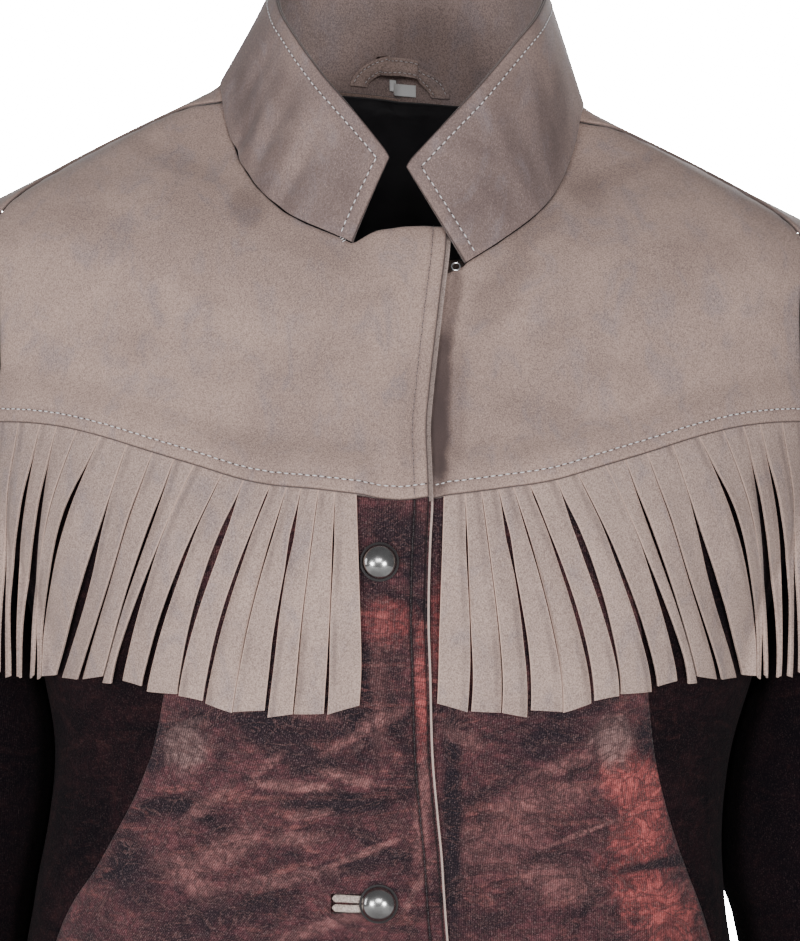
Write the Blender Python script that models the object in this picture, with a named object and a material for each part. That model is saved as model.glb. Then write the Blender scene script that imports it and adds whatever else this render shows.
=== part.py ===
"""A fringed jacket, worn on a figure that isn't there.

The yoke and the stand-up collar are taupe suede, and the body below them is dyed leather. A band of
wide suede fringe is caught under the front yokes' lower edge. The wearer's right front laps over the
left one and closes with domed metal buttons in bound buttonholes.

Metres, +Z up. The front faces -Y and the wearer's right is at -X. The origin is the middle of the
neck opening, level with the points where the collar meets the shoulder seams.

Every cloth piece lies on one smooth form, the hollow shape that a wearer gives the jacket. A piece is
drawn by its edges on that form, filled in by a patch of points, and given its wall along the form's
normals. Layers lie at different heights above the form, so they never cross.
"""

import bmesh
import bpy
import numpy as np
from mathutils import Matrix, Vector

MM = 0.001

# ---------------------------------------------------------------- driving dimensions

LENGTH = 600 * MM          # shoulder point to hem
SUEDE = 1.5 * MM           # yoke, collar, fringe
DYED = 1.5 * MM            # dyed leather of the body and sleeves
LINING = 1.0 * MM
SEAM_GAP = 0.27 * MM        # each piece stops this far short of its seam line
LAYER_GAP = 0.35 * MM
LAP = 3.9 * MM             # how far the right front is lifted where it laps over the left one
FACING_SHOWS = 1.8 * MM    # the facing stands this far out past the right front's edge
BUTTON_RADIUS = 8.4 * MM
BUTTON_HEIGHTS = (-208 * MM, -362 * MM, -516 * MM)
BUTTON_X = -9.6 * MM
BUTTONHOLE = (26 * MM, 8.6 * MM)   # window for the two lips, along and across

# The form: height, half width, front and back, with the shape of a level slice between them.
FORM = np.array([
    (60, 216, -8, 30), (30, 216, -12, 44), (5, 215, -24, 58), (-10, 214, -34, 67), (-26, 213, -48, 77),
    (-44, 212, -67, 86), (-60, 211, -80, 92), (-80, 210, -90, 97), (-110, 207, -99, 102),
    (-145, 203, -109, 104), (-175, 197, -117, 105), (-200, 187, -121, 103), (-224, 174, -122, 100),
    (-261, 165, -119, 95), (-297, 157, -114, 88), (-330, 156, -110, 83), (-364, 160, -108, 82),
    (-400, 166, -108, 86), (-450, 175, -110, 94), (-520, 185, -113, 103), (-600, 192, -116, 108),
    (-660, 196, -118, 111),
]) * MM
SLICE_POWER = 2.4
SHOULDER_SLOPE = 0.508
SHOULDER_RISE = 51.2 * MM
NECK_ROUNDING = 8 * MM
CREST_Y = -2 * MM
CREST_RADIUS = 74 * MM
SHOULDER_BLEND = 16 * MM
BUST = (78 * MM, -205 * MM, 55 * MM, 7 * MM)   # place across and up, spread, and how far it stands out

# The wearer stands a little unevenly: one shoulder is lower, and the waist swings to one side.
TILT = 5 * MM
LEAN = -10.3 * MM
LEAN_FROM = -250 * MM          # the waist starts to swing at this height, and has swung over LEAN_OVER
LEAN_OVER = 130 * MM

# Seam lines, as (across, up) or (across, in depth, up) on one half, with across counted from the middle.
# Where the halves differ they are kept by side: 1 is the wearer's left, at +X, and -1 the right.
NECK = {
    1: np.array([
        (29.5, -84, -71), (45.5, -76, -60.5), (66, -60, -44), (77, -40, -24), (82, -20, -3),
        (82.5, -4, 6), (78, 15, 10), (64, 34, 11), (38, 47, 11), (0, 52, 11),
    ]) * MM,
    -1: np.array([
        (21.5, -84, -67.5), (43.5, -76, -60.5), (65, -60, -44), (76.5, -40, -24), (81, -20, -3),
        (79.5, -4, 6), (75, 15, 10), (62, 34, 11), (37, 47, 11), (0, 52, 11),
    ]) * MM,
}
NECK_SEAM_TURN = 4                   # the shoulder seam meets the neck at this point of NECK
YOKE_HEM = np.array([
    (183, -144.5), (167, -145.5), (153, -147.5), (135, -152), (113, -159), (90, -166), (68, -172.5),
    (45, -176), (20, -179), (0, -181), (-20, -180), (-40, -178),
]) * MM
BACK_YOKE_HEM = np.array([(185, -146), (150, -152), (110, -163), (70, -174), (30, -182), (0, -184)]) * MM
ARMHOLE_FRONT = np.array([
    (187, -58), (185, -80), (184, -112), (183, -144.5), (180.5, -176), (177.5, -204),
]) * MM
ARMHOLE_BACK = np.array([
    (188, -58), (187, -80), (186, -112), (185, -146), (182, -178), (178.5, -205),
]) * MM
SHOULDER_SEAM = np.array([(105, -18, -8), (135, -13, -21), (162, -20, -36), (188, -34, -55)]) * MM
UNDERARM = np.array((174.5, -4, -223)) * MM
LAP_EDGE = np.array([
    (21.7, -55.6), (21, -65), (18.6, -85), (16, -108), (13.7, -130), (12.2, -148), (12.8, -166), (13.3, -181),
    (12.4, -200), (11.8, -243), (13.3, -295), (15.6, -323), (17.3, -341), (18.3, -358), (18.3, -600),
]) * MM
LAP_TOP = np.array([(21.7, -55.6), (0, -58), (-12, -61.4), (-21.5, -67.5)]) * MM
UNDER_TOP = np.array([(29.5, -71), (20, -76), (0, -80), (-32, -82)]) * MM
UNDER_EDGE = -32 * MM
SIDE_SEAM_RIGHT = np.array([
    (-100, -163.5), (-102, -215), (-107, -270), (-113, -297), (-120, -315), (-131, -336), (-139, -350),
    (-149, -364), (-157, -380), (-163, -410), (-168, -450), (-172, -520), (-176, -600),
]) * MM
SIDE_SEAM_LEFT = np.array([
    (100, -163.5), (106, -215), (114, -285), (117, -304), (121, -320), (126, -337), (132, -354),
    (138, -370), (144, -390), (152, -420), (160, -460), (168, -520), (176, -600),
]) * MM

# Collar: the top edge over the neck seam, by share of the way from the front end to the middle of the back.
COLLAR_TOP = {
    1: np.array([
        (2.3, -84, -27), (18, -84, -8.5), (36, -78, 12.5), (52.5, -64, 34), (64, -44, 50), (68, -14, 62),
        (64, 18, 71), (52, 42, 76), (29, 56, 79), (0, 61, 80),
    ]) * MM,
    -1: np.array([
        (4.6, -84, -23.5), (19, -84, -6.5), (35, -76, 11.5), (47.5, -62, 29), (55.5, -42, 44), (57.5, -14, 57),
        (55, 18, 69), (45, 42, 75.5), (26, 56, 79), (0, 61, 80),
    ]) * MM,
}
COLLAR_PLY = 1.2 * MM

# Fringe: where its strips end, below the yoke hem, as (across, up, how far it has swung out).
FRINGE_END = np.array([
    (19.6, -273), (50, -275), (90, -270), (120, -264), (150, -262), (168, -261), (172, -260),
]) * MM
FRINGE_START = 19.6 * MM   # the fringe begins this far either side of the middle
FRINGE_HEIGHT = (2.9 * MM, 5.2 * MM)

# Sleeve: height, middle across, middle in depth, half width, half depth.
SLEEVE = np.array([
    (-240, 217, 0, 42, 60), (-300, 206.5, 4, 41, 58), (-357, 204.5, 8, 40, 56), (-385, 209, 7, 39.5, 54),
    (-450, 225, 0, 38, 50), (-520, 236, -10, 35, 46), (-605, 245, -26, 32, 42),
]) * MM

LAP_EDGE_AT_HEM = 13.3 * MM
LAP_RISES_FROM = -58 * MM          # the right front starts to rise here, and is fully up before -34 mm
LAP_RISE_WIDTH = 24 * MM
HEM_LIFT = 3.7 * MM                # how far a front yoke's lower edge stands out, over the fringe
HEM_LIFT_REACH = 26 * MM           # it starts to rise this far above the edge
HEM_LIFT_RISE = 17 * MM
HEM_LIFT_FROM = 15 * MM            # and this far from the middle
FRINGE_TUCK = 6.4 * MM
FRINGE_TUCK_FROM = 34 * MM
FRINGE_TUCK_WIDTH = 12 * MM
FRINGE_TOP_HEIGHT = (1.85 * MM, 3.0 * MM)
HANGS_FREE = 0.93                  # beyond this share of the half width the fringe hangs free of the side
BACK_SPLIT_X = 110 * MM
SIDE_SEAM_X = 100 * MM             # where the side panel's seam meets the yoke's lower edge
SIDE_SEAM = {-1: SIDE_SEAM_RIGHT, 1: SIDE_SEAM_LEFT}
ARMHOLE_X = 183 * MM
FRONT_HEM_AT = 4                   # the yoke's lower edge meets the armhole at this point of its line
BACK_HEM_AT = 4
FACING = 1.0 * MM
FACING_GAP = 0.5 * MM
FACING_INNER_X = -24 * MM
FACING_BELOW_TOP = 0.6 * MM
FACING_FOLLOWS = -110 * MM         # above this height the facing's rows turn to follow the lap's top edge
LINING_DEPTH = 3.0 * MM
LINING_HALF = 92 * MM
LINING_BOTTOM = -60 * MM
COLLAR_STANDS = 3.3 * MM
COLLAR_BOW = 0.8 * MM
COLLAR_MIDDLE_Y = -12 * MM
COLLAR_PLY_GAP = 0.35 * MM
LOOP_HALF = 24 * MM
LOOP_WIDTH = 8.5 * MM
LOOP_RISE = 17 * MM
LOOP_FOOT = 1.0 * MM
LOOP_CLEARS = 0.7 * MM
LOOP_STANDS = 9 * MM              # how far the middle of the loop stands out from the collar
LABEL = (-4.8 * MM, 7.4 * MM, 0.6 * MM, 6.6 * MM)   # along the seam from, to, and up from, to
LABEL_THICKNESS = 0.5 * MM
SLEEVE_GAP = 0.5 * MM
SLEEVE_FULLNESS = 0.8
RIM_RADIUS = 8.9 * MM
BUTTON_RIM = 1.1 * MM
DOME = 6.2 * MM
SHANK_RADIUS = 2.0 * MM
SHANK_FOOT = 1.9 * MM              # the shank starts this far over the form, just clear of the left front
BUTTON_CLEARS = 0.7 * MM
HIDDEN_HOLE = 7 * MM
WINDOW_DEPTH = 9 * MM
LIP_THICKNESS = 1.9 * MM
NECK_EYE = np.array((25.4, -72.5)) * MM
EYE_RADIUS = 1.9 * MM
EYE_WIRE = 0.4 * MM

# How many steps each surface is drawn in.
YOKE_ROWS = [0, 0.07, 0.14, 0.24, 0.38, 0.53, 0.69, 0.85, 1]
UNDER_COLUMNS, LAP_COLUMNS, MIDDLE_COLUMNS, OUTER_COLUMNS = 4, 3, 6, 5
BACK_YOKE_ROWS = [0, 0.18, 0.35, 0.5, 0.63, 0.74, 0.84, 0.92, 1]
BODY_ROWS, HOLE_ROWS, BACK_NEAR_COLUMNS = 15, 4, 5
FRINGE_ROWS, SLEEVE_CAP_ROWS, SLEEVE_ROWS = 5, 5, 6
FACING_ROWS, FACING_FINE_ROWS, FACING_COLUMNS = 17, 10, 3
FACING_FINE_FROM = -180 * MM
LINING_ROWS, LINING_COLUMNS = 4, 6
COLLAR_ROWS, COLLAR_COLUMNS, LOOP_STEPS, BUTTON_STEPS = 3, 26, 10, 20

# ---------------------------------------------------------------- curves


def spline(x, knots, values):
    """A smooth curve through (knots, values), read at x. It never overshoots between knots by much."""
    order = np.argsort(knots)
    k, v = np.asarray(knots, float)[order], np.asarray(values, float)[order]
    slope = np.gradient(v, k)
    x = np.clip(x, k[0], k[-1])
    i = np.clip(np.searchsorted(k, x, side="right") - 1, 0, len(k) - 2)
    h = k[i + 1] - k[i]
    t = (x - k[i]) / h
    return ((2 * t**3 - 3 * t**2 + 1) * v[i] + (t**3 - 2 * t**2 + t) * h * slope[i]
            + (-2 * t**3 + 3 * t**2) * v[i + 1] + (t**3 - t**2) * h * slope[i + 1])


def length_along(points):
    steps = np.linalg.norm(np.diff(points, axis=0), axis=1)
    return np.concatenate([[0.0], np.cumsum(steps)])


def even(points, count):
    """The same polyline with count points, evenly spaced."""
    along = length_along(points)
    at = np.linspace(0, along[-1], count)
    return np.stack([np.interp(at, along, points[:, k]) for k in range(points.shape[1])], axis=1)


def rounded(points, count):
    """A smooth curve through a few points, as count evenly spaced points."""
    along = length_along(points)
    fine = np.linspace(0, along[-1], 400)
    curve = np.stack([spline(fine, along, points[:, k]) for k in range(points.shape[1])], axis=1)
    return even(curve, count)


def path(*stretches):
    """Stretches that meet end to end, as one polyline."""
    return np.concatenate([stretches[0]] + [s[1:] for s in stretches[1:]])


def mirrored(points):
    return points * np.array([-1] + [1] * (points.shape[-1] - 1))

# ---------------------------------------------------------------- the form


def form(p):
    """About the distance outside the form, in metres: negative inside."""
    x, y, z = np.abs(p[:, 0]), p[:, 1], p[:, 2]
    half = spline(z, FORM[:, 0], FORM[:, 1])
    front, back = spline(z, FORM[:, 0], FORM[:, 2]), spline(z, FORM[:, 0], FORM[:, 3])
    place, height, spread, stands = BUST
    away = ((x - place) ** 2 + (z - height) ** 2) / (2 * spread**2)
    front = front - stands * np.exp(-away)
    middle, depth = (front + back) / 2, (back - front) / 2
    across, in_depth = x / half, np.abs(y - middle) / depth
    share = (across**SLICE_POWER + in_depth**SLICE_POWER) ** (1 / SLICE_POWER) + 1e-9
    tube = np.hypot(x, y - middle) * (1 - 1 / share)
    crest = SHOULDER_RISE - SHOULDER_SLOPE * np.hypot(x, NECK_ROUNDING)
    roof = (z - crest + (y - CREST_Y) ** 2 / (2 * CREST_RADIUS)) * 0.85
    mix = np.clip(0.5 + 0.5 * (roof - tube) / SHOULDER_BLEND, 0, 1)
    return tube * (1 - mix) + roof * mix + SHOULDER_BLEND * mix * (1 - mix)


def slope_of(p):
    step = 0.2 * MM
    return np.stack([(form(p + d) - form(p - d)) / (2 * step) for d in np.eye(3) * step], axis=1)


def normals(p):
    n = slope_of(p)
    return n / np.linalg.norm(n, axis=1, keepdims=True)


def settled(p):
    """The points moved onto the form, along its slope."""
    p = np.array(p, float)
    for _ in range(12):
        g = slope_of(p)
        p = p - (form(p) / (g**2).sum(1))[:, None] * g
    return p


def seen(points, side=-1):
    """(across, up) points put on the form: on its front, or on its back where side is 1."""
    near, far = np.zeros(len(points)), np.full(len(points), 0.25)
    for _ in range(40):
        y = (near + far) / 2
        outside = form(np.stack([points[:, 0], side * y, points[:, 1]], axis=1)) > 0
        near, far = np.where(outside, near, y), np.where(outside, y, far)
    return np.stack([points[:, 0], side * (near + far) / 2, points[:, 1]], axis=1)


def swing(z):
    """How far the waist has swung sideways at a height."""
    t = np.clip((LEAN_FROM - z) / LEAN_OVER, 0, 1)
    return LEAN * t * t * (3 - 2 * t)


def stance(p):
    """The uneven stance: the left shoulder is lower and the waist swings to the wearer's right."""
    p = np.array(p, float)
    high = np.clip((p[:, 2] + 140 * MM) / (80 * MM), 0, 1)
    p[:, 2] -= TILT * np.tanh(p[:, 0] / (50 * MM)) * high * high * (3 - 2 * high)
    p[:, 0] += swing(p[:, 2])
    return p


def upright(points):
    """(across, up) points as measured on the swung waist, back on the even form."""
    return points - np.stack([swing(points[:, 1]), 0 * points[:, 1]], axis=1)

# ---------------------------------------------------------------- cloth


def patch(bottom, right, top, left):
    """A grid of points between four edges. bottom and top run left to right, left and right run up."""
    rows, columns = len(left), len(bottom)
    u, v = np.linspace(0, 1, columns)[None, :, None], np.linspace(0, 1, rows)[:, None, None]
    ruled = (1 - v) * bottom[None] + v * top[None] + (1 - u) * left[:, None] + u * right[:, None]
    corners = ((1 - u) * (1 - v) * bottom[0] + u * (1 - v) * bottom[-1]
               + (1 - u) * v * top[0] + u * v * top[-1])
    return ruled - corners


def on_form(grid):
    """The grid settled onto the form, its edges kept as drawn."""
    inside = grid.copy()
    inside[1:-1, 1:-1] = settled(grid[1:-1, 1:-1].reshape(-1, 3)).reshape(grid[1:-1, 1:-1].shape)
    return inside


def sheet_of(grids):
    """One joined surface from grids that share edges."""
    mesh = bmesh.new()
    for grid in grids:
        rows, columns = grid.shape[:2]
        verts = [[mesh.verts.new(p) for p in row] for row in grid]
        for i in range(rows - 1):
            for j in range(columns - 1):
                mesh.faces.new((verts[i][j], verts[i][j + 1], verts[i + 1][j + 1], verts[i + 1][j]))
    bmesh.ops.remove_doubles(mesh, verts=mesh.verts, dist=0.05 * MM)
    bmesh.ops.recalc_face_normals(mesh, faces=mesh.faces)
    return mesh


def trim_edges(mesh, gap=SEAM_GAP):
    """Move the sheet's outer edge inwards by gap, so that pieces stop just short of their seams."""
    inwards = {}
    for edge in mesh.edges:
        if len(edge.link_faces) != 1:
            continue
        face = edge.link_faces[0]
        along = (edge.verts[1].co - edge.verts[0].co).normalized()
        across = face.calc_center_median() - edge.verts[0].co
        across = (across - across.dot(along) * along).normalized()
        for vert in edge.verts:
            inwards.setdefault(vert, []).append(across)
    for vert, ways in inwards.items():
        bend = max(0.4, 1 + ways[0].dot(ways[-1]))
        vert.co += gap * (ways[0] + ways[-1]) / bend


def no_lift(p):
    return np.zeros(len(p))


def wall(name, grids, inner, outer, material, lift=no_lift):
    """A closed wall on the form, from height inner to height outer, over grids that share edges."""
    mesh = sheet_of(grids)
    trim_edges(mesh)
    lower = list(mesh.verts)
    made = bmesh.ops.extrude_face_region(mesh, geom=mesh.faces[:], use_keep_orig=True)
    upper = [v for v in made["geom"] if isinstance(v, bmesh.types.BMVert)]
    for verts, height in ((lower, inner), (upper, outer)):
        base = np.array([v.co for v in verts])
        raised = base + normals(base) * (height + lift(base))[:, None]
        for vert, place in zip(verts, stance(raised)):
            vert.co = place
    return finished(name, mesh, material)


def slab(name, lower, upper, material, ring=False):
    """A closed wall between two grids of points. ring joins the last column to the first."""
    mesh = bmesh.new()
    rows, columns = lower.shape[:2]
    levels = []
    for grid in (lower, upper):
        placed = stance(grid.reshape(-1, 3)).reshape(grid.shape)
        levels.append([[mesh.verts.new(p) for p in row] for row in placed])
    last = columns if ring else columns - 1
    for level in levels:
        for i in range(rows - 1):
            for j in range(last):
                k = (j + 1) % columns
                mesh.faces.new((level[i][j], level[i][k], level[i + 1][k], level[i + 1][j]))
    low, high = levels
    for i in (0, rows - 1):
        for j in range(last):
            k = (j + 1) % columns
            mesh.faces.new((low[i][j], low[i][k], high[i][k], high[i][j]))
    for j in () if ring else (0, columns - 1):
        for i in range(rows - 1):
            mesh.faces.new((low[i][j], low[i + 1][j], high[i + 1][j], high[i][j]))
    return finished(name, mesh, material)


def outward(grid, ring=False):
    """Unit normals of a grid, away from the wearer's middle line."""
    if ring:
        along = np.roll(grid, -1, axis=1) - np.roll(grid, 1, axis=1)
    else:
        along = np.gradient(grid, axis=1)
    n = np.cross(along, np.gradient(grid, axis=0))
    n /= np.linalg.norm(n, axis=2, keepdims=True)
    middle = grid.mean(axis=(0, 1))
    return n * np.sign(((grid - middle) * n).sum())


def finished(name, mesh, material):
    bmesh.ops.recalc_face_normals(mesh, faces=mesh.faces)
    if mesh.calc_volume(signed=True) < 0:
        bmesh.ops.reverse_faces(mesh, faces=mesh.faces)
    data = bpy.data.meshes.new(name)
    mesh.to_mesh(data)
    mesh.free()
    data.shade_smooth()
    data.materials.append(material)
    made = bpy.data.objects.new(name, data)
    bpy.context.scene.collection.objects.link(made)
    return made


def finish_of(name, colour, roughness, metallic=0.0):
    material = bpy.data.materials.new(name)
    material.use_nodes = True
    shader = material.node_tree.nodes["Principled BSDF"]
    shader.inputs["Base Color"].default_value = (*colour, 1)
    shader.inputs["Roughness"].default_value = roughness
    shader.inputs["Metallic"].default_value = metallic
    return material


# ---------------------------------------------------------------- lifts


def smooth(t):
    t = np.clip(t, 0, 1)
    return t * t * (3 - 2 * t)


def hem_height(x):
    """How high the front yokes' lower edge is at x."""
    return spline(np.abs(x), YOKE_HEM[:, 0], YOKE_HEM[:, 1])


def lap_lift(p):
    """The right front rises over the left one's hidden edge."""
    return LAP * smooth((p[:, 0] - LAP_RISES_FROM) / LAP_RISE_WIDTH)


def hem_lift(p, side):
    """A front yoke's lower edge rises over the fringe that is caught under it."""
    above = p[:, 2] - hem_height(p[:, 0])
    sideways = smooth((side * p[:, 0] - HEM_LIFT_FROM) / HEM_LIFT_FROM)
    return HEM_LIFT * smooth((HEM_LIFT_REACH - above) / HEM_LIFT_RISE) * sideways


def right_yoke_lift(p):
    return lap_lift(p) + hem_lift(p, -1)


def left_yoke_lift(p):
    return hem_lift(p, 1)


# ---------------------------------------------------------------- the seams on the form


def on_curve(points):
    """A smooth curve on the form through a few points."""
    return settled(rounded(points, 400))


def cut_at(curve, share_from, share_to, spots):
    """Points of a curve between two shares of its length, at the given shares of that stretch."""
    along = length_along(curve)
    at = along[-1] * (share_from + (share_to - share_from) * np.asarray(spots))
    return np.stack([np.interp(at, along, curve[:, k]) for k in range(3)], axis=1)


def shares(count):
    return np.linspace(0, 1, count + 1)


def hem_row(xs, raised=0.0):
    """The front yoke's lower edge line at each of xs, or a line that far above it."""
    return seen(np.stack([xs, hem_height(xs) + raised], axis=1))


def seam_tops(side):
    """The front neck seam, shoulder seam and armhole of one half. side is 1 for the wearer's left."""
    neck = settled(NECK[side])
    ridge = np.concatenate([neck[NECK_SEAM_TURN][None], settled(SHOULDER_SEAM)])
    tip, pit = ridge[-1], settled(UNDERARM[None])[0]
    front = np.concatenate([[tip], seen(ARMHOLE_FRONT), [pit]])
    back = np.concatenate([[tip], seen(ARMHOLE_BACK, 1), [pit]])
    lines = {
        "neck_front": on_curve(neck[: NECK_SEAM_TURN + 1]),
        "neck_back": on_curve(neck[NECK_SEAM_TURN:]),
        "shoulder": on_curve(ridge),
        "hole_front": on_curve(front),
        "hole_back": on_curve(back),
    }
    half_way = {}
    for way, points, turn in (("front", front, FRONT_HEM_AT), ("back", back, BACK_HEM_AT)):
        along = length_along(points)
        half_way[way] = along[turn] / along[-1]
    return lines, half_way


def side_line(count):
    """From the hem up to the underarm point, on the form's side."""
    heights = np.linspace(-LENGTH, UNDERARM[2], 30)
    half = spline(heights, FORM[:, 0], FORM[:, 1])
    drawn = settled(np.stack([half, UNDERARM[1] + 0 * half, heights], axis=1))
    return even(drawn, count + 1)


def lower_hem(start, end, count):
    """Along the hem, between two points of it, the short way round the form."""
    turn = np.linspace(0, 1, 40)[:, None]
    line = settled(start + (end - start) * turn)
    line[:, 2] = -LENGTH
    return even(line, count + 1)

# ---------------------------------------------------------------- pieces


def build_half(side, suede, dyed):
    """Yoke, fringe, front, side panel and sleeve of one half. side is 1 for the wearer's left.

    They are worked out at +X and turned over to -X for the wearer's right.
    """
    hand = "left" if side > 0 else "right"
    flip = np.array([side, 1, 1])
    lines, hem_share = seam_tops(side)
    back_share, front_share = hem_share["back"], hem_share["front"]

    # The front edge, and the columns that yoke, front and fringe share at the yoke's lower edge.
    if side > 0:
        inner = np.array([(UNDER_EDGE, -LENGTH), (UNDER_EDGE, UNDER_TOP[-1, 1])])
        free_top = UNDER_TOP[::-1]
        first = np.linspace(UNDER_EDGE, FRINGE_START, UNDER_COLUMNS + 1)
    else:
        inner = rounded(upright(LAP_EDGE), 400) * np.array([-1, 1])
        free_top = LAP_TOP * np.array([-1, 1])
        first = np.linspace(-LAP_EDGE_AT_HEM, FRINGE_START, LAP_COLUMNS + 1)
    middle = np.linspace(FRINGE_START, SIDE_SEAM_X, MIDDLE_COLUMNS + 1)
    outer = np.linspace(SIDE_SEAM_X, ARMHOLE_X, OUTER_COLUMNS + 1)
    near = path(first, middle)

    # Yoke, in two grids either side of a line from the neck down to its lower edge.
    neck = cut_at(lines["neck_front"], 0, 1, shares(MIDDLE_COLUMNS))
    top_edge = path(even(seen(rounded(free_top, 100)), len(first)), neck)
    shoulder = cut_at(lines["shoulder"], 0, 1, shares(OUTER_COLUMNS))
    hem_near, hem_far = hem_row(near), hem_row(outer)
    split = cut_at(across_form(hem_far[0], neck[-1]), 0, 1, YOKE_ROWS)
    hole = cut_at(lines["hole_front"], front_share, 0, YOKE_ROWS)
    hem_far[-1] = hole[0]
    centre = front_line(inner, hem_near[0], top_edge[0], YOKE_ROWS)
    top_edge[0] = centre[-1]
    yoke_near = on_form(patch(hem_near, split, top_edge, centre))
    yoke_far = on_form(patch(hem_far, hole, shoulder, split))
    yoke = [yoke_near, yoke_far]
    lift = left_yoke_lift if side > 0 else right_yoke_lift
    wall(f"yoke_{hand}", [g * flip for g in yoke], 0, SUEDE, suede, lift)

    # Front and side panel, from the yoke down to the jacket's hem.
    drawn = upright(SIDE_SEAM[side]) * np.array([side, 1])
    seam_points = np.concatenate([seen(drawn[:0:-1]), hem_near[-1:]])
    seam = even(on_curve(seam_points), BODY_ROWS + 1)
    low_front = seen(np.array([[inner_at(inner, -LENGTH), -LENGTH]]))[0]
    front_edge = front_line(inner, low_front, hem_near[0], shares(BODY_ROWS))
    front_edge[-1] = hem_near[0]
    hem_front = lower_hem(front_edge[0], seam[0], len(near) - 1)
    front = on_form(patch(hem_front, seam, hem_near, front_edge))
    lift = no_lift if side > 0 else lap_lift
    wall(f"front_{hand}", [front * flip], 0, DYED, dyed, lift)
    if side < 0:
        cut_buttonholes(bpy.data.objects["front_right"])

    under_arm = cut_at(lines["hole_front"], 1, front_share, shares(HOLE_ROWS))
    side_edge = path(side_line(BODY_ROWS - HOLE_ROWS), under_arm)
    hem_side = lower_hem(seam[0], side_edge[0], OUTER_COLUMNS)
    wall(f"side_{hand}", [on_form(patch(hem_side, side_edge, hem_far, seam)) * flip], 0, DYED, dyed)

    build_fringe(side, hand, path(middle, outer), suede)

    # Sleeve, from the armhole down to the cuff.
    hole_shares = np.concatenate([
        front_share * (1 - np.array(YOKE_ROWS[::-1])),
        front_share + (1 - front_share) * shares(HOLE_ROWS)[1:],
        2 - (back_share + (1 - back_share) * shares(HOLE_ROWS)[::-1][1:]),
        2 - back_share * (1 - np.array(BACK_YOKE_ROWS[1:-1])),
    ])
    build_sleeve(hand, flip, lines, hole_shares, dyed)
    return lines, hem_share, shoulder


def inner_at(inner, height):
    order = np.argsort(inner[:, 1])
    return np.interp(height, inner[order, 1], inner[order, 0])


def front_line(inner, low, high, at):
    """Points on a front edge line, between two of its heights, at the given shares."""
    heights = low[2] + (high[2] - low[2]) * np.asarray(at)
    return seen(np.stack([inner_at(inner, heights), heights], axis=1))


def build_fringe(side, hand, columns, suede):
    """The band that the fringe's strips fill, from the yoke's lower edge to where they end."""
    count = len(columns)
    tuck = FRINGE_TUCK * smooth((columns - FRINGE_TUCK_FROM) / FRINGE_TUCK_WIDTH) - SEAM_GAP * 3
    top = np.stack([columns, hem_height(columns) + tuck], axis=1)
    end = rounded(FRINGE_END, count)
    down = shares(FRINGE_ROWS)[::-1, None, None]
    flat = end[None] * down + top[None] * (1 - down)
    spread = flat.reshape(-1, 2)
    on = spread.copy()
    on[:, 0] = np.minimum(on[:, 0], HANGS_FREE * spline(on[:, 1], FORM[:, 0], FORM[:, 1]))
    base = seen(on)
    n = normals(base)
    base[:, 0] = spread[:, 0]
    grid_shape = (FRINGE_ROWS + 1, count, 3)
    ease = smooth(2.5 * (shares(FRINGE_ROWS) - 0.1))[::-1, None] + np.zeros((1, count))
    lift = (lap_lift(base * np.array([-1, 1, 1])) if side < 0 else no_lift(base)).reshape(ease.shape)
    flip = np.array([side, 1, 1])
    levels = []
    for at_top, below in zip(FRINGE_TOP_HEIGHT, FRINGE_HEIGHT):
        height = at_top + (below - at_top) * ease + lift
        levels.append((base + n * height.reshape(-1, 1)).reshape(grid_shape) * flip)
    slab(f"fringe_{hand}", levels[0], levels[1], suede)


def build_sleeve(hand, flip, lines, hole_shares, dyed):
    front = hole_shares[hole_shares <= 1]
    back = hole_shares[hole_shares > 1]
    hole = np.concatenate([
        cut_at(lines["hole_front"], 0, 1, front), cut_at(lines["hole_back"], 0, 1, 2 - back),
    ])
    slant = np.arctan(SHOULDER_SLOPE)
    leaves = np.array([np.cos(slant), 0, -np.sin(slant)])
    turn = np.pi * hole_shares
    start = hole + normals(hole) * DYED + leaves * SLEEVE_GAP

    def ring(height):
        across, depth, half, half_depth = (
            spline(height, SLEEVE[:, 0], SLEEVE[:, k]) for k in range(1, 5))
        z = np.full(len(turn), height)
        return np.stack([across + half * np.cos(turn), depth - half_depth * np.sin(turn), z], axis=1)

    biceps = ring(SLEEVE[0, 0])
    reach = SLEEVE_FULLNESS * np.linalg.norm(biceps - start, axis=1, keepdims=True)
    rows = []
    for t in np.linspace(0, 1, SLEEVE_CAP_ROWS + 1):
        rows.append((2 * t**3 - 3 * t**2 + 1) * start + (t**3 - 2 * t**2 + t) * reach * leaves
                    + (3 * t**2 - 2 * t**3) * biceps + (t**3 - t**2) * reach * np.array([0, 0, -1]))
    for height in np.linspace(SLEEVE[0, 0], SLEEVE[-1, 0], SLEEVE_ROWS + 1)[1:]:
        rows.append(ring(height))
    outer = np.array(rows)
    inner = outer - outward(outer, ring=True) * DYED
    slab(f"sleeve_{hand}", inner * flip, outer * flip, dyed, ring=True)


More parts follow.
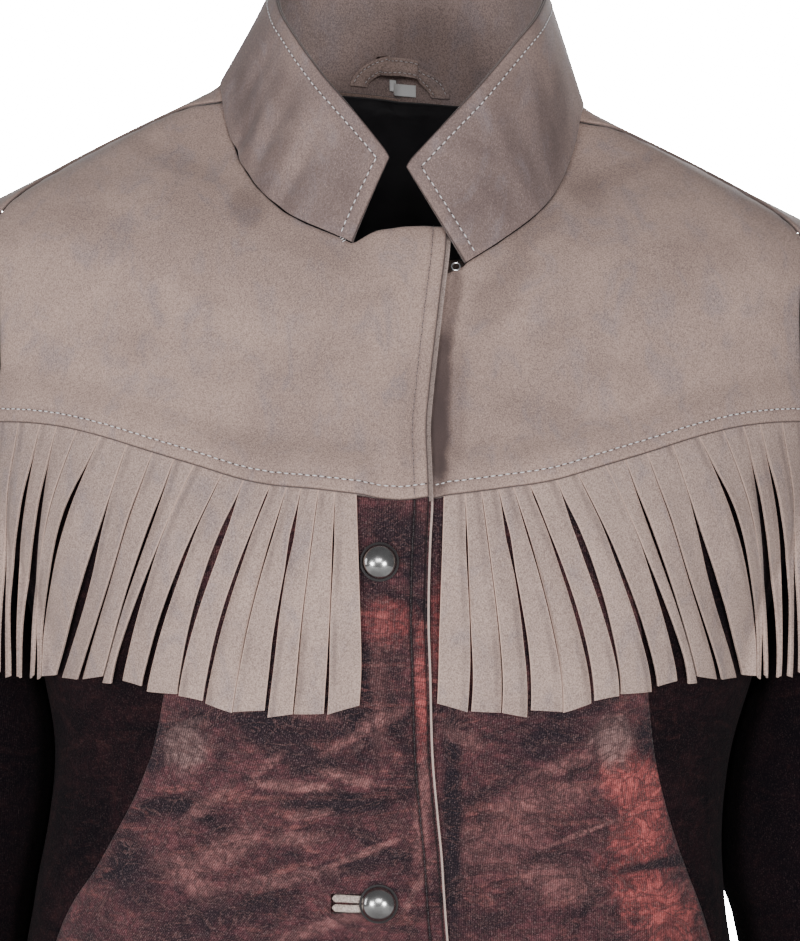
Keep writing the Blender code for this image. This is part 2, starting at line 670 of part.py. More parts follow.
def build_back(halves, suede, dyed):
    yoke, body = [], []
    for side, (lines, hem_share, shoulder) in halves.items():
        flip = np.array([side, 1, 1])
        share = hem_share["back"]
        hem_near = back_row(np.linspace(0, BACK_SPLIT_X, BACK_NEAR_COLUMNS + 1))
        hem_far = back_row(np.linspace(BACK_SPLIT_X, BACK_YOKE_HEM[0, 0], OUTER_COLUMNS + 1))
        neck = cut_at(lines["neck_back"], 1, 0, shares(BACK_NEAR_COLUMNS))
        split = cut_at(across_form(hem_far[0], neck[-1]), 0, 1, BACK_YOKE_ROWS)
        hole = cut_at(lines["hole_back"], share, 0, BACK_YOKE_ROWS)
        hem_far[-1] = hole[0]
        centre = cut_at(across_form(hem_near[0], neck[0]), 0, 1, BACK_YOKE_ROWS)
        yoke.append(on_form(patch(hem_near, split, neck, centre)) * flip)
        yoke.append(on_form(patch(hem_far, hole, shoulder, split)) * flip)

        lower_hole = cut_at(lines["hole_back"], 1, share, shares(HOLE_ROWS))
        side_edge = path(side_line(BODY_ROWS - HOLE_ROWS), lower_hole)
        top = path(hem_near, hem_far)
        heights = np.linspace(-LENGTH, top[0, 2], BODY_ROWS + 1)
        centre = seen(np.stack([0 * heights, heights], axis=1), 1)
        hem = lower_hem(centre[0], side_edge[0], len(top) - 1)
        body.append(on_form(patch(hem, side_edge, top, centre)) * flip)
    wall("back_yoke", yoke, 0, SUEDE, suede)
    wall("back_body", body, 0, DYED, dyed)


def across_form(start, end):
    """The way over the form from one point to another."""
    return on_curve(settled(np.linspace(start, end, 7)))


def back_row(xs):
    heights = spline(xs, BACK_YOKE_HEM[:, 0], BACK_YOKE_HEM[:, 1])
    return seen(np.stack([xs, heights], axis=1), 1)


def build_facing(dyed):
    """The second layer behind the right front's edge. It stands out a little past that edge."""
    edge = rounded(upright(LAP_EDGE), 400)
    top = LAP_EDGE[0, 1] - FACING_BELOW_TOP
    heights = path(np.linspace(-LENGTH, FACING_FINE_FROM, FACING_ROWS),
                   np.linspace(FACING_FINE_FROM, top, FACING_FINE_ROWS))
    outer = np.interp(heights, edge[::-1, 1], edge[::-1, 0]) + FACING_SHOWS
    at = np.linspace(FACING_INNER_X, outer, FACING_COLUMNS + 1, axis=1)
    top = np.interp(at, LAP_TOP[::-1, 0], LAP_TOP[::-1, 1]) - FACING_BELOW_TOP
    follows = smooth((heights - FACING_FOLLOWS) / (heights[-1] - FACING_FOLLOWS))
    high = heights[:, None] + (top - heights[-1]) * follows[:, None]
    grid = seen(np.stack([at, high], axis=2).reshape(-1, 2)).reshape(*at.shape, 3)
    wall("facing_right", [grid], LAP - FACING_GAP - FACING, LAP - FACING_GAP, dyed)
    cut_buttonholes(bpy.data.objects["facing_right"])


def build_lining(halves, lining):
    """The lining that shows at the back of the neck. It hangs just inside the back yoke."""
    grids = []
    for side, (lines, _, _) in halves.items():
        neck = cut_at(lines["neck_back"], 1, 0, shares(LINING_COLUMNS))
        xs = np.linspace(0, LINING_HALF, LINING_COLUMNS + 1)
        low = seen(np.stack([xs, LINING_BOTTOM + 0 * xs], axis=1), 1)
        centre = even(across_form(low[0], neck[0]), LINING_ROWS + 1)
        outer = even(across_form(low[-1], neck[-1]), LINING_ROWS + 1)
        grids.append(on_form(patch(low, outer, neck, centre)) * np.array([side, 1, 1]))
    wall("lining_back", grids, -LINING_DEPTH - LINING, -LINING_DEPTH, lining)


class Collar:
    """The stand-up collar's middle surface: a band ruled between the neck seam and its top edge."""

    def __init__(self):
        base = np.concatenate([mirrored(settled(NECK[-1])), settled(NECK[1])[::-1][1:]])
        lift = lap_lift(base) * (base[:, 0] < 0)
        base = base + normals(base) * (COLLAR_STANDS + lift)[:, None]
        top = np.concatenate([mirrored(COLLAR_TOP[-1]), COLLAR_TOP[1][::-1][1:]])
        along = length_along(base)
        self.middle = along[len(NECK[1]) - 1]
        self.length = along[-1]
        fine = np.linspace(0, along[-1], 600)
        self.fine = fine
        self.base = np.stack([spline(fine, along, base[:, k]) for k in range(3)], axis=1)
        self.top = np.stack([spline(fine, along, top[:, k]) for k in range(3)], axis=1)

    def grid(self, along, up):
        """Points at distances along the neck seam (rows x columns) and shares up the band."""
        low = np.stack([np.interp(along, self.fine, self.base[:, k]) for k in range(3)], axis=-1)
        high = np.stack([np.interp(along, self.fine, self.top[:, k]) for k in range(3)], axis=-1)
        bow = COLLAR_BOW * 4 * up * (1 - up)
        surface = low + (high - low) * up[..., None]
        out = surface - np.array([0, COLLAR_MIDDLE_Y, 0])
        out[..., 2] = 0
        out /= np.linalg.norm(out, axis=-1, keepdims=True)
        return surface + out * bow[..., None]

    def band(self, name, along, up, inner, outer, material):
        n = outward_of_collar(self, along, up)
        middle = self.grid(along, up)
        slab(name, middle + n * inner, middle + n * outer, material)


def outward_of_collar(collar, along, up):
    step = 0.5 * MM
    sideways = collar.grid(along + step, up) - collar.grid(along - step, up)
    upwards = collar.grid(along, up + 0.01) - collar.grid(along, up - 0.01)
    n = np.cross(sideways, upwards)
    n /= np.linalg.norm(n, axis=-1, keepdims=True)
    out = collar.grid(along, up) - np.array([0, COLLAR_MIDDLE_Y, 0])
    sign = np.sign((out * n * np.array([1, 1, 0])).sum(-1, keepdims=True))
    return n * sign


def build_collar(suede, label):
    collar = Collar()
    up, along = np.meshgrid(shares(COLLAR_ROWS), collar.length * shares(COLLAR_COLUMNS), indexing="ij")
    half_gap = COLLAR_PLY_GAP / 2
    collar.band("collar_outer", along, up, half_gap, half_gap + COLLAR_PLY, suede)
    collar.band("collar_inner", along, up, -half_gap - COLLAR_PLY, -half_gap, suede)

    # The hanger loop: a suede strip that arches out from the inside of the collar, both ends in the neck seam.
    inside = -half_gap - COLLAR_PLY - LOOP_CLEARS
    height = np.linalg.norm(COLLAR_TOP[1][-1] - NECK[1][-1])
    turn, across = np.meshgrid(np.linspace(0, np.pi, LOOP_STEPS + 1), [0, 0.5, 1], indexing="ij")
    reach = LOOP_HALF - LOOP_WIDTH * (1 - across)
    rise = LOOP_RISE - LOOP_WIDTH * (1 - across)
    along = collar.middle + reach * np.cos(turn)
    up = (LOOP_FOOT + rise * np.sin(turn)) / height
    stands = inside - LOOP_STANDS * np.sin(turn)[..., None] ** 2
    collar.band("hanger_loop", along, up, stands - COLLAR_PLY, stands, suede)

    # The size label, blank, between the loop and the seam.
    start, end, foot, top = LABEL
    along, up = np.meshgrid(collar.middle + np.linspace(start, end, 3), np.linspace(foot, top, 3) / height)
    collar.band("size_label", along, up, inside - LABEL_THICKNESS, inside, label)


# ---------------------------------------------------------------- buttons


def button_frame(height):
    """The middle of a button on the left front, and the direction it faces."""
    foot = seen(np.array([[BUTTON_X - swing(height), height]]))
    return foot[0], normals(foot)[0]


def placed(mesh, foot, facing, height):
    """Move a mesh made along +Z so that it stands on the form at foot, height above it."""
    turn = Vector((0, 0, 1)).rotation_difference(Vector(facing)).to_matrix().to_4x4()
    mesh.transform(Matrix.Translation(Vector(stance((foot + facing * height)[None])[0])) @ turn)


def turned(mesh, profile, steps):
    """A solid of revolution about Z from (radius, height) points that start and end on the axis."""
    verts = [mesh.verts.new((r, 0, h)) for r, h in profile]
    edges = [mesh.edges.new(pair) for pair in zip(verts, verts[1:])]
    bmesh.ops.spin(mesh, geom=verts + edges, cent=(0, 0, 0), axis=(0, 0, 1), angle=2 * np.pi,
                   steps=steps, use_merge=True, use_duplicate=False)
    bmesh.ops.remove_doubles(mesh, verts=mesh.verts, dist=0.01 * MM)


def build_buttons(chrome):
    for number, height in enumerate(BUTTON_HEIGHTS, 1):
        foot, facing = button_frame(height)
        mesh = bmesh.new()
        under = LAP + DYED + BUTTON_CLEARS - SHANK_FOOT
        dome = [(BUTTON_RADIUS * np.cos(a), under + BUTTON_RIM + (DOME - BUTTON_RIM) * np.sin(a))
                for a in np.linspace(0, np.pi / 2, 5)[:-1]]
        profile = [(0, 0), (SHANK_RADIUS, 0), (SHANK_RADIUS, under), (RIM_RADIUS, under),
                   (RIM_RADIUS, under + BUTTON_RIM)] + dome + [(0, under + DOME)]
        turned(mesh, profile, BUTTON_STEPS)
        placed(mesh, foot, facing, SHANK_FOOT)
        finished(f"button_{number}", mesh, chrome)


def cut_buttonholes(cloth):
    """Open a window for each button's shank and lips. The first one is hidden under its button."""
    for number, height in enumerate(BUTTON_HEIGHTS, 1):
        foot, facing = button_frame(height)
        back = BUTTONHOLE[0] if number > 1 else HIDDEN_HOLE
        ahead = SHANK_RADIUS + SEAM_GAP * 2
        mesh = bmesh.new()
        bmesh.ops.create_cube(mesh, size=1)
        size = (back + ahead, BUTTONHOLE[1] if number > 1 else 2 * ahead, WINDOW_DEPTH)
        bmesh.ops.scale(mesh, vec=size, verts=mesh.verts)
        bmesh.ops.translate(mesh, vec=((ahead - back) / 2, 0, 0), verts=mesh.verts)
        stand_on_front(mesh, foot, facing, LAP)
        data = bpy.data.meshes.new("window")
        mesh.to_mesh(data)
        mesh.free()
        cutter = bpy.data.objects.new("window", data)
        bpy.context.scene.collection.objects.link(cutter)
        cut = cloth.modifiers.new("window", "BOOLEAN")
        cut.operation = "DIFFERENCE"
        cut.solver = "EXACT"
        cut.object = cutter
        bpy.context.view_layer.update()
        graph = bpy.context.evaluated_depsgraph_get()
        cloth_data = bpy.data.meshes.new_from_object(cloth.evaluated_get(graph))
        cloth.modifiers.clear()
        old = cloth.data
        cloth.data = cloth_data
        bpy.data.meshes.remove(old)
        bpy.data.objects.remove(cutter, do_unlink=True)
        cloth_data.name = cloth.name


def stand_on_front(mesh, foot, facing, height):
    """Place a mesh made flat in XY, X staying level across the jacket and Z turned to facing."""
    z = Vector(facing)
    x = Vector((1, 0, 0))
    x = (x - x.dot(z) * z).normalized()
    y = z.cross(x)
    turn = Matrix((x, y, z)).transposed().to_4x4()
    mesh.transform(Matrix.Translation(Vector(stance((foot + facing * height)[None])[0])) @ turn)


def build_lips(suede):
    """Two folded strips that fill a buttonhole's window, with a slit between them."""
    for number, height in enumerate(BUTTON_HEIGHTS, 1):
        if number == 1:
            continue
        foot, facing = button_frame(height)
        for name, way in (("upper", 1), ("lower", -1)):
            mesh = bmesh.new()
            bmesh.ops.create_cube(mesh, size=1)
            length = BUTTONHOLE[0] - SHANK_RADIUS - SEAM_GAP * 4
            width = BUTTONHOLE[1] / 2 - SEAM_GAP * 2
            bmesh.ops.scale(mesh, vec=(length, width, LIP_THICKNESS), verts=mesh.verts)
            middle = -BUTTONHOLE[0] + SEAM_GAP * 1.5 + length / 2
            across = way * (width / 2 + SEAM_GAP * 0.75)
            bmesh.ops.translate(mesh, vec=(middle, across, 0), verts=mesh.verts)
            bmesh.ops.bevel(mesh, geom=mesh.edges[:], offset=LIP_THICKNESS * 0.3, offset_type="OFFSET",
                            segments=1, profile=0.5, affect="EDGES", material=-1)
            stand_on_front(mesh, foot, facing, LAP + LIP_THICKNESS / 2)
            finished(f"buttonhole_{number}_{name}_lip", mesh, suede)


def build_neck_eye(chrome):
    """A wire eye on the left front, showing in the gap beside the lap's top corner."""
    foot = seen(np.array([NECK_EYE]))
    facing = normals(foot)[0]
    mesh = bmesh.new()
    ring = bmesh.ops.create_circle(mesh, segments=8, radius=EYE_WIRE, cap_ends=False)["verts"]
    bmesh.ops.rotate(mesh, verts=ring, cent=(0, 0, 0), matrix=Matrix.Rotation(np.pi / 2, 3, "X"))
    bmesh.ops.translate(mesh, vec=(EYE_RADIUS, 0, 0), verts=ring)
    bmesh.ops.spin(mesh, geom=mesh.verts[:] + mesh.edges[:], cent=(0, 0, 0), axis=(0, 0, 1),
                   angle=2 * np.pi, steps=20, use_merge=True, use_duplicate=False)
    bmesh.ops.remove_doubles(mesh, verts=mesh.verts, dist=0.01 * MM)
    placed(mesh, foot[0], facing, SUEDE + LAYER_GAP + EYE_WIRE)
    finished("neck_eye", mesh, chrome)


def main():
    for item in list(bpy.data.objects):
        bpy.data.objects.remove(item, do_unlink=True)
    suede = finish_of("taupe_suede", (0.36, 0.29, 0.265), 0.95)
    trim = finish_of("trim_suede", (0.40, 0.32, 0.29), 0.95)
    dyed = finish_of("dyed_leather", (0.055, 0.022, 0.026), 0.9)
    satin = finish_of("black_satin", (0.008, 0.007, 0.008), 0.45)
    white = finish_of("label_cloth", (0.8, 0.79, 0.76), 0.8)
    chrome = finish_of("bright_metal", (0.62, 0.62, 0.63), 0.12, 1.0)
    halves = {side: build_half(side, suede, dyed) for side in (-1, 1)}
    build_back(halves, suede, dyed)
    build_facing(dyed)
    build_lining(halves, satin)
    build_collar(suede, white)
    build_lips(trim)
    build_buttons(chrome)
    build_neck_eye(chrome)


main()
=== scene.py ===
"""A fringed jacket, worn on a figure that isn't there: taupe suede over dyed leather.

Each cloth piece is a thin shell on one smooth form, the hollow shape that the wearer gives the jacket.
Folds and puckers push the shared form in and out, so the layers over it always follow each other.
"""
import bmesh
import bpy
import numpy as np
from mathutils import Matrix, Vector


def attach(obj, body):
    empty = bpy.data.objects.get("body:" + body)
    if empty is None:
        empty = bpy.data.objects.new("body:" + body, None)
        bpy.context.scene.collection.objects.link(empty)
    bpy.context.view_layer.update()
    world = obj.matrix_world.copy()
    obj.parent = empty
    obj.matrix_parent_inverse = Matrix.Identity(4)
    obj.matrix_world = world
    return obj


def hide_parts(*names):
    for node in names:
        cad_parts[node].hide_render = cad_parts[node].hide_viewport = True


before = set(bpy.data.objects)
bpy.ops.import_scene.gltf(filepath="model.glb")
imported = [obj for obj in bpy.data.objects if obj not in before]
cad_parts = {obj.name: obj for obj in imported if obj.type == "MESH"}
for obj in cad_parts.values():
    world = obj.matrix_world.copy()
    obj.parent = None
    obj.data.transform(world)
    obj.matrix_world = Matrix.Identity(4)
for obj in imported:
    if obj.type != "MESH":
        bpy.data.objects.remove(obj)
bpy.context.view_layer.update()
MM = 0.001

# ---------------------------------------------------------------- sizes

LENGTH = 600 * MM
CLOTH = 1.5 * MM           # suede and dyed leather alike
LAP = 3.9 * MM             # the right front is lifted this far where it laps over the left one
FACING_SHOWS = 1.8 * MM
BUTTON_HEIGHTS = (-208 * MM, -362 * MM, -516 * MM)
BUTTON_X = -9.6 * MM
BUTTONHOLE = (26 * MM, 8.6 * MM)
STITCH = 3.3 * MM          # from one stitch to the next
INSET = 6.3 * MM           # topstitching runs this far in from an edge

# The form: height, half width, front and back.
FORM = np.array([
    (60, 216, -8, 30), (30, 216, -12, 44), (5, 215, -24, 58), (-10, 214, -34, 67), (-26, 213, -48, 77),
    (-44, 212, -67, 86), (-60, 211, -80, 92), (-80, 210, -90, 97), (-110, 207, -99, 102),
    (-145, 203, -109, 104), (-175, 197, -117, 105), (-200, 187, -121, 103), (-224, 174, -122, 100),
    (-261, 165, -119, 95), (-297, 157, -114, 88), (-330, 156, -110, 83), (-364, 160, -108, 82),
    (-400, 166, -108, 86), (-450, 175, -110, 94), (-520, 185, -113, 103), (-600, 192, -116, 108),
    (-660, 196, -118, 111),
]) * MM
SLICE_POWER = 2.4
SHOULDER_SLOPE = 0.508
SHOULDER_RISE = 51.2 * MM
NECK_ROUNDING = 8 * MM
CREST_Y = -2 * MM
CREST_RADIUS = 74 * MM
SHOULDER_BLEND = 16 * MM
BUST = (78 * MM, -205 * MM, 55 * MM, 7 * MM)
TILT = 5 * MM
LEAN = -10.3 * MM
LEAN_FROM = -250 * MM
LEAN_OVER = 130 * MM

# Seam lines, as (across, up) or (across, in depth, up), kept by side where the halves differ.
NECK = {
    1: np.array([
        (29.5, -84, -71), (45.5, -76, -60.5), (66, -60, -44), (77, -40, -24), (82, -20, -3),
        (82.5, -4, 6), (78, 15, 10), (64, 34, 11), (38, 47, 11), (0, 52, 11),
    ]) * MM,
    -1: np.array([
        (21.5, -84, -67.5), (43.5, -76, -60.5), (65, -60, -44), (76.5, -40, -24), (81, -20, -3),
        (79.5, -4, 6), (75, 15, 10), (62, 34, 11), (37, 47, 11), (0, 52, 11),
    ]) * MM,
}
NECK_SEAM_TURN = 4
YOKE_HEM = np.array([
    (183, -144.5), (167, -145.5), (153, -147.5), (135, -152), (113, -159), (90, -166), (68, -172.5),
    (45, -176), (20, -179), (0, -181), (-20, -180), (-40, -178),
]) * MM
BACK_YOKE_HEM = np.array([(185, -146), (150, -152), (110, -163), (70, -174), (30, -182), (0, -184)]) * MM
ARMHOLE_FRONT = np.array([
    (187, -58), (185, -80), (184, -112), (183, -144.5), (180.5, -176), (177.5, -204),
]) * MM
ARMHOLE_BACK = np.array([
    (188, -58), (187, -80), (186, -112), (185, -146), (182, -178), (178.5, -205),
]) * MM
SHOULDER_SEAM = np.array([(105, -18, -8), (135, -13, -21), (162, -20, -36), (188, -34, -55)]) * MM
UNDERARM = np.array((174.5, -4, -223)) * MM
LAP_EDGE = np.array([
    (21.7, -55.6), (21, -65), (18.6, -85), (16, -108), (13.7, -130), (12.2, -148), (12.8, -166),
    (13.3, -181), (12.4, -200), (11.8, -243), (13.3, -295), (15.6, -323), (17.3, -341), (18.3, -358),
    (18.3, -600),
]) * MM
LAP_TOP = np.array([(21.7, -55.6), (0, -58), (-12, -61.4), (-21.5, -67.5)]) * MM
UNDER_TOP = np.array([(29.5, -71), (20, -76), (0, -80), (-32, -82)]) * MM
UNDER_EDGE = -32 * MM
SIDE_SEAM = {
    -1: np.array([
        (-100, -163.5), (-102, -215), (-107, -270), (-113, -297), (-120, -315), (-131, -336), (-139, -350),
        (-149, -364), (-157, -380), (-163, -410), (-168, -450), (-172, -520), (-176, -600),
    ]) * MM,
    1: np.array([
        (100, -163.5), (106, -215), (114, -285), (117, -304), (121, -320), (126, -337), (132, -354),
        (138, -370), (144, -390), (152, -420), (160, -460), (168, -520), (176, -600),
    ]) * MM,
}
COLLAR_TOP = {
    1: np.array([
        (2.3, -84, -27), (18, -84, -8.5), (36, -78, 12.5), (52.5, -64, 34), (64, -44, 50), (68, -14, 62),
        (64, 18, 71), (52, 42, 76), (29, 56, 79), (0, 61, 80),
    ]) * MM,
    -1: np.array([
        (4.6, -84, -23.5), (19, -84, -6.5), (35, -76, 11.5), (47.5, -62, 29), (55.5, -42, 44),
        (57.5, -14, 57), (55, 18, 69), (45, 42, 75.5), (26, 56, 79), (0, 61, 80),
    ]) * MM,
}
COLLAR_PLY = 1.2 * MM
SLEEVE = np.array([
    (-240, 217, 0, 42, 60), (-300, 206.5, 4, 41, 58), (-357, 204.5, 8, 40, 56), (-385, 209, 7, 39.5, 54),
    (-450, 225, 0, 38, 50), (-520, 236, -10, 35, 46), (-605, 245, -26, 32, 42),
]) * MM
LAP_EDGE_AT_HEM = 13.3 * MM
SIDE_SEAM_X = 100 * MM
ARMHOLE_X = 183 * MM
HEM_AT = 4
BACK_SPLIT_X = 110 * MM

# ---------------------------------------------------------------- curves and the form


def spline(x, knots, values):
    order = np.argsort(knots)
    k, v = np.asarray(knots, float)[order], np.asarray(values, float)[order]
    slope = np.gradient(v, k)
    x = np.clip(x, k[0], k[-1])
    i = np.clip(np.searchsorted(k, x, side="right") - 1, 0, len(k) - 2)
    h = k[i + 1] - k[i]
    t = (x - k[i]) / h
    return ((2 * t**3 - 3 * t**2 + 1) * v[i] + (t**3 - 2 * t**2 + t) * h * slope[i]
            + (-2 * t**3 + 3 * t**2) * v[i + 1] + (t**3 - t**2) * h * slope[i + 1])


def smooth(t):
    t = np.clip(t, 0, 1)
    return t * t * (3 - 2 * t)


def length_along(points):
    return np.concatenate([[0.0], np.cumsum(np.linalg.norm(np.diff(points, axis=0), axis=1))])


def at_shares(line, shares):
    """Points of a polyline at shares of its length."""
    along = length_along(line)
    spots = along[-1] * np.asarray(shares)
    return np.stack([np.interp(spots, along, line[:, k]) for k in range(line.shape[1])], axis=1)


def rounded(points, count=400):
    along = length_along(points)
    fine = np.linspace(0, along[-1], 400)
    curve = np.stack([spline(fine, along, points[:, k]) for k in range(points.shape[1])], axis=1)
    return at_shares(curve, np.linspace(0, 1, count))


def path(*stretches):
    return np.concatenate([stretches[0]] + [s[1:] for s in stretches[1:]])


def mirrored(points):
    return points * np.array([-1] + [1] * (points.shape[-1] - 1))


def form(p):
    """About the distance outside the form, in metres: negative inside."""
    x, y, z = np.abs(p[:, 0]), p[:, 1], p[:, 2]
    half = spline(z, FORM[:, 0], FORM[:, 1])
    front, back = spline(z, FORM[:, 0], FORM[:, 2]), spline(z, FORM[:, 0], FORM[:, 3])
    place, height, spread, stands = BUST
    away = ((x - place) ** 2 + (z - height) ** 2) / (2 * spread**2)
    front = front - stands * np.exp(-away)
    middle, depth = (front + back) / 2, (back - front) / 2
    across, in_depth = x / half, np.abs(y - middle) / depth
    share = (across**SLICE_POWER + in_depth**SLICE_POWER) ** (1 / SLICE_POWER) + 1e-9
    tube = np.hypot(x, y - middle) * (1 - 1 / share)
    crest = SHOULDER_RISE - SHOULDER_SLOPE * np.hypot(x, NECK_ROUNDING)
    roof = (z - crest + (y - CREST_Y) ** 2 / (2 * CREST_RADIUS)) * 0.85
    mix = np.clip(0.5 + 0.5 * (roof - tube) / SHOULDER_BLEND, 0, 1)
    return tube * (1 - mix) + roof * mix + SHOULDER_BLEND * mix * (1 - mix)


def slope_of(p):
    step = 0.2 * MM
    return np.stack([(form(p + d) - form(p - d)) / (2 * step) for d in np.eye(3) * step], axis=1)


def normals(p):
    n = slope_of(p)
    return n / np.linalg.norm(n, axis=1, keepdims=True)


def settled(p, rounds=12):
    p = np.array(p, float)
    for _ in range(rounds):
        g = slope_of(p)
        p = p - (form(p) / (g**2).sum(1))[:, None] * g
    return p


def seen(points, side=-1):
    """(across, up) points put on the form's front, or on its back where side is 1."""
    near, far = np.zeros(len(points)), np.full(len(points), 0.25)
    for _ in range(36):
        y = (near + far) / 2
        outside = form(np.stack([points[:, 0], side * y, points[:, 1]], axis=1)) > 0
        near, far = np.where(outside, near, y), np.where(outside, y, far)
    return np.stack([points[:, 0], side * (near + far) / 2, points[:, 1]], axis=1)


def swing(z):
    return LEAN * smooth((LEAN_FROM - z) / LEAN_OVER)


def stance(p):
    """The uneven stance: the left shoulder is lower and the waist swings to the wearer's right."""
    p = np.array(p, float)
    high = smooth((p[:, 2] + 140 * MM) / (80 * MM))
    p[:, 2] -= TILT * np.tanh(p[:, 0] / (50 * MM)) * high
    p[:, 0] += swing(p[:, 2])
    return p


def upright(points):
    return points - np.stack([swing(points[:, 1]), 0 * points[:, 1]], axis=1)


def on_curve(points):
    return settled(rounded(points))


def across_form(start, end):
    return on_curve(settled(np.linspace(start, end, 7)))


def hem_height(x):
    return spline(np.abs(x), YOKE_HEM[:, 0], YOKE_HEM[:, 1])


def hem_row(start, end, count=160):
    xs = np.linspace(start, end, count)
    return seen(np.stack([xs, hem_height(xs)], axis=1))


def back_row(start, end, count=160):
    xs = np.linspace(start, end, count)
    return seen(np.stack([xs, spline(xs, BACK_YOKE_HEM[:, 0], BACK_YOKE_HEM[:, 1])], axis=1), 1)


def lap_lift(p):
    """How far the right front stands over the form where it laps over the left one."""
    stands_off = smooth((p[:, 0] - 3 * MM) / (10 * MM)) * smooth((-84 * MM - p[:, 2]) / (40 * MM))
    stands_off = stands_off * smooth((p[:, 2] + 196 * MM) / (26 * MM))
    return LAP * smooth((p[:, 0] + 58 * MM) / (24 * MM)) + 1.4 * MM * stands_off


def hem_lift(p, side):
    """A front yoke's lower edge rises over the fringe that is caught under it."""
    above = p[:, 2] - hem_height(p[:, 0])
    starts, over = (15.5 * MM, 6.5 * MM) if side > 0 else (9 * MM, 10 * MM)
    sideways = smooth((side * p[:, 0] - starts) / over)
    return 3.7 * MM * smooth((26 * MM - above) / (17 * MM)) * sideways


# ---------------------------------------------------------------- folds

# Creases pressed into the cloth: front or back, start (across, up), end, depth and width, in millimetres.
FRONT, BACK = -1, 1
CREASES = [
    (FRONT, (-72, -300), (-57, -338), 0.7, 3.5), (FRONT, (-56, -326), (-55, -350), 0.6, 2.5),
    (FRONT, (-36, -352), (-4, -338), 1.0, 3.2), (FRONT, (-4, -370), (14, -343), -0.8, 2.6),
    (FRONT, (66, -337), (104, -322), -0.8, 3.0), (FRONT, (108, -352), (130, -346), 2.0, 3.2),
    (FRONT, (104, -343), (128, -358), 1.1, 3.0), (FRONT, (112, -366), (136, -356), 1.2, 3.4),
    (FRONT, (-148, -314), (-134, -300), 0.9, 2.6), (FRONT, (-136, -322), (-138, -346), -0.9, 3.0),
    (FRONT, (-154, -352), (-150, -386), -1.2, 3.4), (FRONT, (-120, -300), (-96, -286), 0.7, 4.0),
    (FRONT, (-112, -330), (-84, -316), 0.6, 3.6), (FRONT, (20, -300), (60, -290), 0.5, 4.0),
    (FRONT, (-60, -292), (-22, -284), 0.5, 3.5), (FRONT, (-60, -366), (-20, -380), 0.8, 4.0),
    (FRONT, (30, -350), (76, -372), 0.7, 5.0), (FRONT, (-40, -318), (2, -312), 0.6, 3.2),
    (FRONT, (-96, -398), (-30, -412), 1.4, 7.0), (FRONT, (40, -402), (112, -388), 1.5, 7.0),
    (FRONT, (-128, -450), (-70, -470), 1.2, 9.0), (FRONT, (60, -470), (130, -446), 1.3, 9.0),
    (FRONT, (-60, -540), (-40, -600), 1.8, 12.0), (FRONT, (70, -530), (84, -600), 2.0, 13.0),
    (FRONT, (-126, -520), (-120, -600), 1.6, 12.0),
    (FRONT, (-80, -112), (-140, -84), 0.8, 9.0), (FRONT, (84, -120), (140, -92), 0.7, 9.0),
    (FRONT, (-96, -60), (-152, -70), 0.6, 8.0), (FRONT, (96, -64), (150, -76), 0.7, 8.0),
    (FRONT, (-172, -96), (-150, -132), 1.0, 7.0), (FRONT, (172, -98), (150, -134), 1.0, 7.0),
    (FRONT, (-60, -92), (-70, -140), 0.4, 9.0), (FRONT, (52, -96), (66, -146), 0.4, 9.0),
    (BACK, (-120, -330), (-20, -318), 1.8, 9.0), (BACK, (24, -326), (124, -340), 1.7, 9.0),
    (BACK, (-130, -360), (-30, -366), 1.4, 10.0), (BACK, (20, -372), (130, -356), 1.5, 10.0),
    (BACK, (-160, -230), (-90, -290), 1.8, 10.0), (BACK, (160, -230), (90, -290), 1.8, 10.0),
    (BACK, (-60, -480), (-50, -600), 2.2, 15.0), (BACK, (64, -470), (74, -600), 2.2, 15.0),
    (BACK, (-4, -420), (4, -560), 1.2, 14.0), (BACK, (-140, -460), (-130, -600), 1.8, 14.0),
    (BACK, (140, -480), (134, -600), 1.6, 13.0), (BACK, (-150, -90), (-90, -120), 1.0, 11.0),
    (BACK, (150, -90), (90, -120), 1.0, 11.0), (BACK, (-40, -60), (44, -62), 0.8, 9.0),
    (BACK, (-90, -400), (-40, -396), 1.2, 8.0), (BACK, (50, -412), (110, -404), 1.2, 8.0),
]
SWELLS = [(31, 17, 23, 0.3), (-19, 27, 41, 1.9), (43, -11, 29, 4.0), (13, 37, -31, 2.4), (57, 41, 61, 0.9)]


def folds(p):
    """How far the folds push the cloth out, at points of the even form."""
    pushed = np.zeros(len(p))
    for facing, start, end, depth, width in CREASES:
        a, b = np.array(start) * MM, np.array(end) * MM
        along = (b - a) / np.linalg.norm(b - a)
        flat = p[:, [0, 2]] - a
        share = flat @ along / np.linalg.norm(b - a)
        bend = 0.18 * np.sin(np.pi * share) * np.linalg.norm(b - a)
        off = (flat @ np.array([-along[1], along[0]]) + bend * 0.5) / (width * MM)
        ends = smooth(1.1 - np.abs(2 * share - 1))
        here = smooth(facing * p[:, 1] / (20 * MM))
        pushed -= 1.5 * depth * MM * ends * here * (np.exp(-off**2) - 0.4 * np.exp(-(off / 2.4) ** 2))
    wave = sum(np.sin(a * p[:, 0] + b * p[:, 1] + c * p[:, 2] + d) for a, b, c, d in SWELLS)
    quiet = smooth((-p[:, 2] - 40 * MM) / (60 * MM))
    return pushed + 0.22 * MM * wave * quiet


# ---------------------------------------------------------------- laying cloth


def spaced(length, step, ends=(0.45, 1.1, 2.2)):
    """Shares of a length, close together near both ends, where the edge is turned."""
    fine = np.array(ends) * MM / length
    middle = np.linspace(0, 1, max(4, int(round(length / step))) + 1)[1:-1]
    middle = middle[(middle > fine[-1] * 1.4) & (middle < 1 - fine[-1] * 1.4)]
    return np.concatenate([[0], fine, middle, 1 - fine[::-1], [1]])


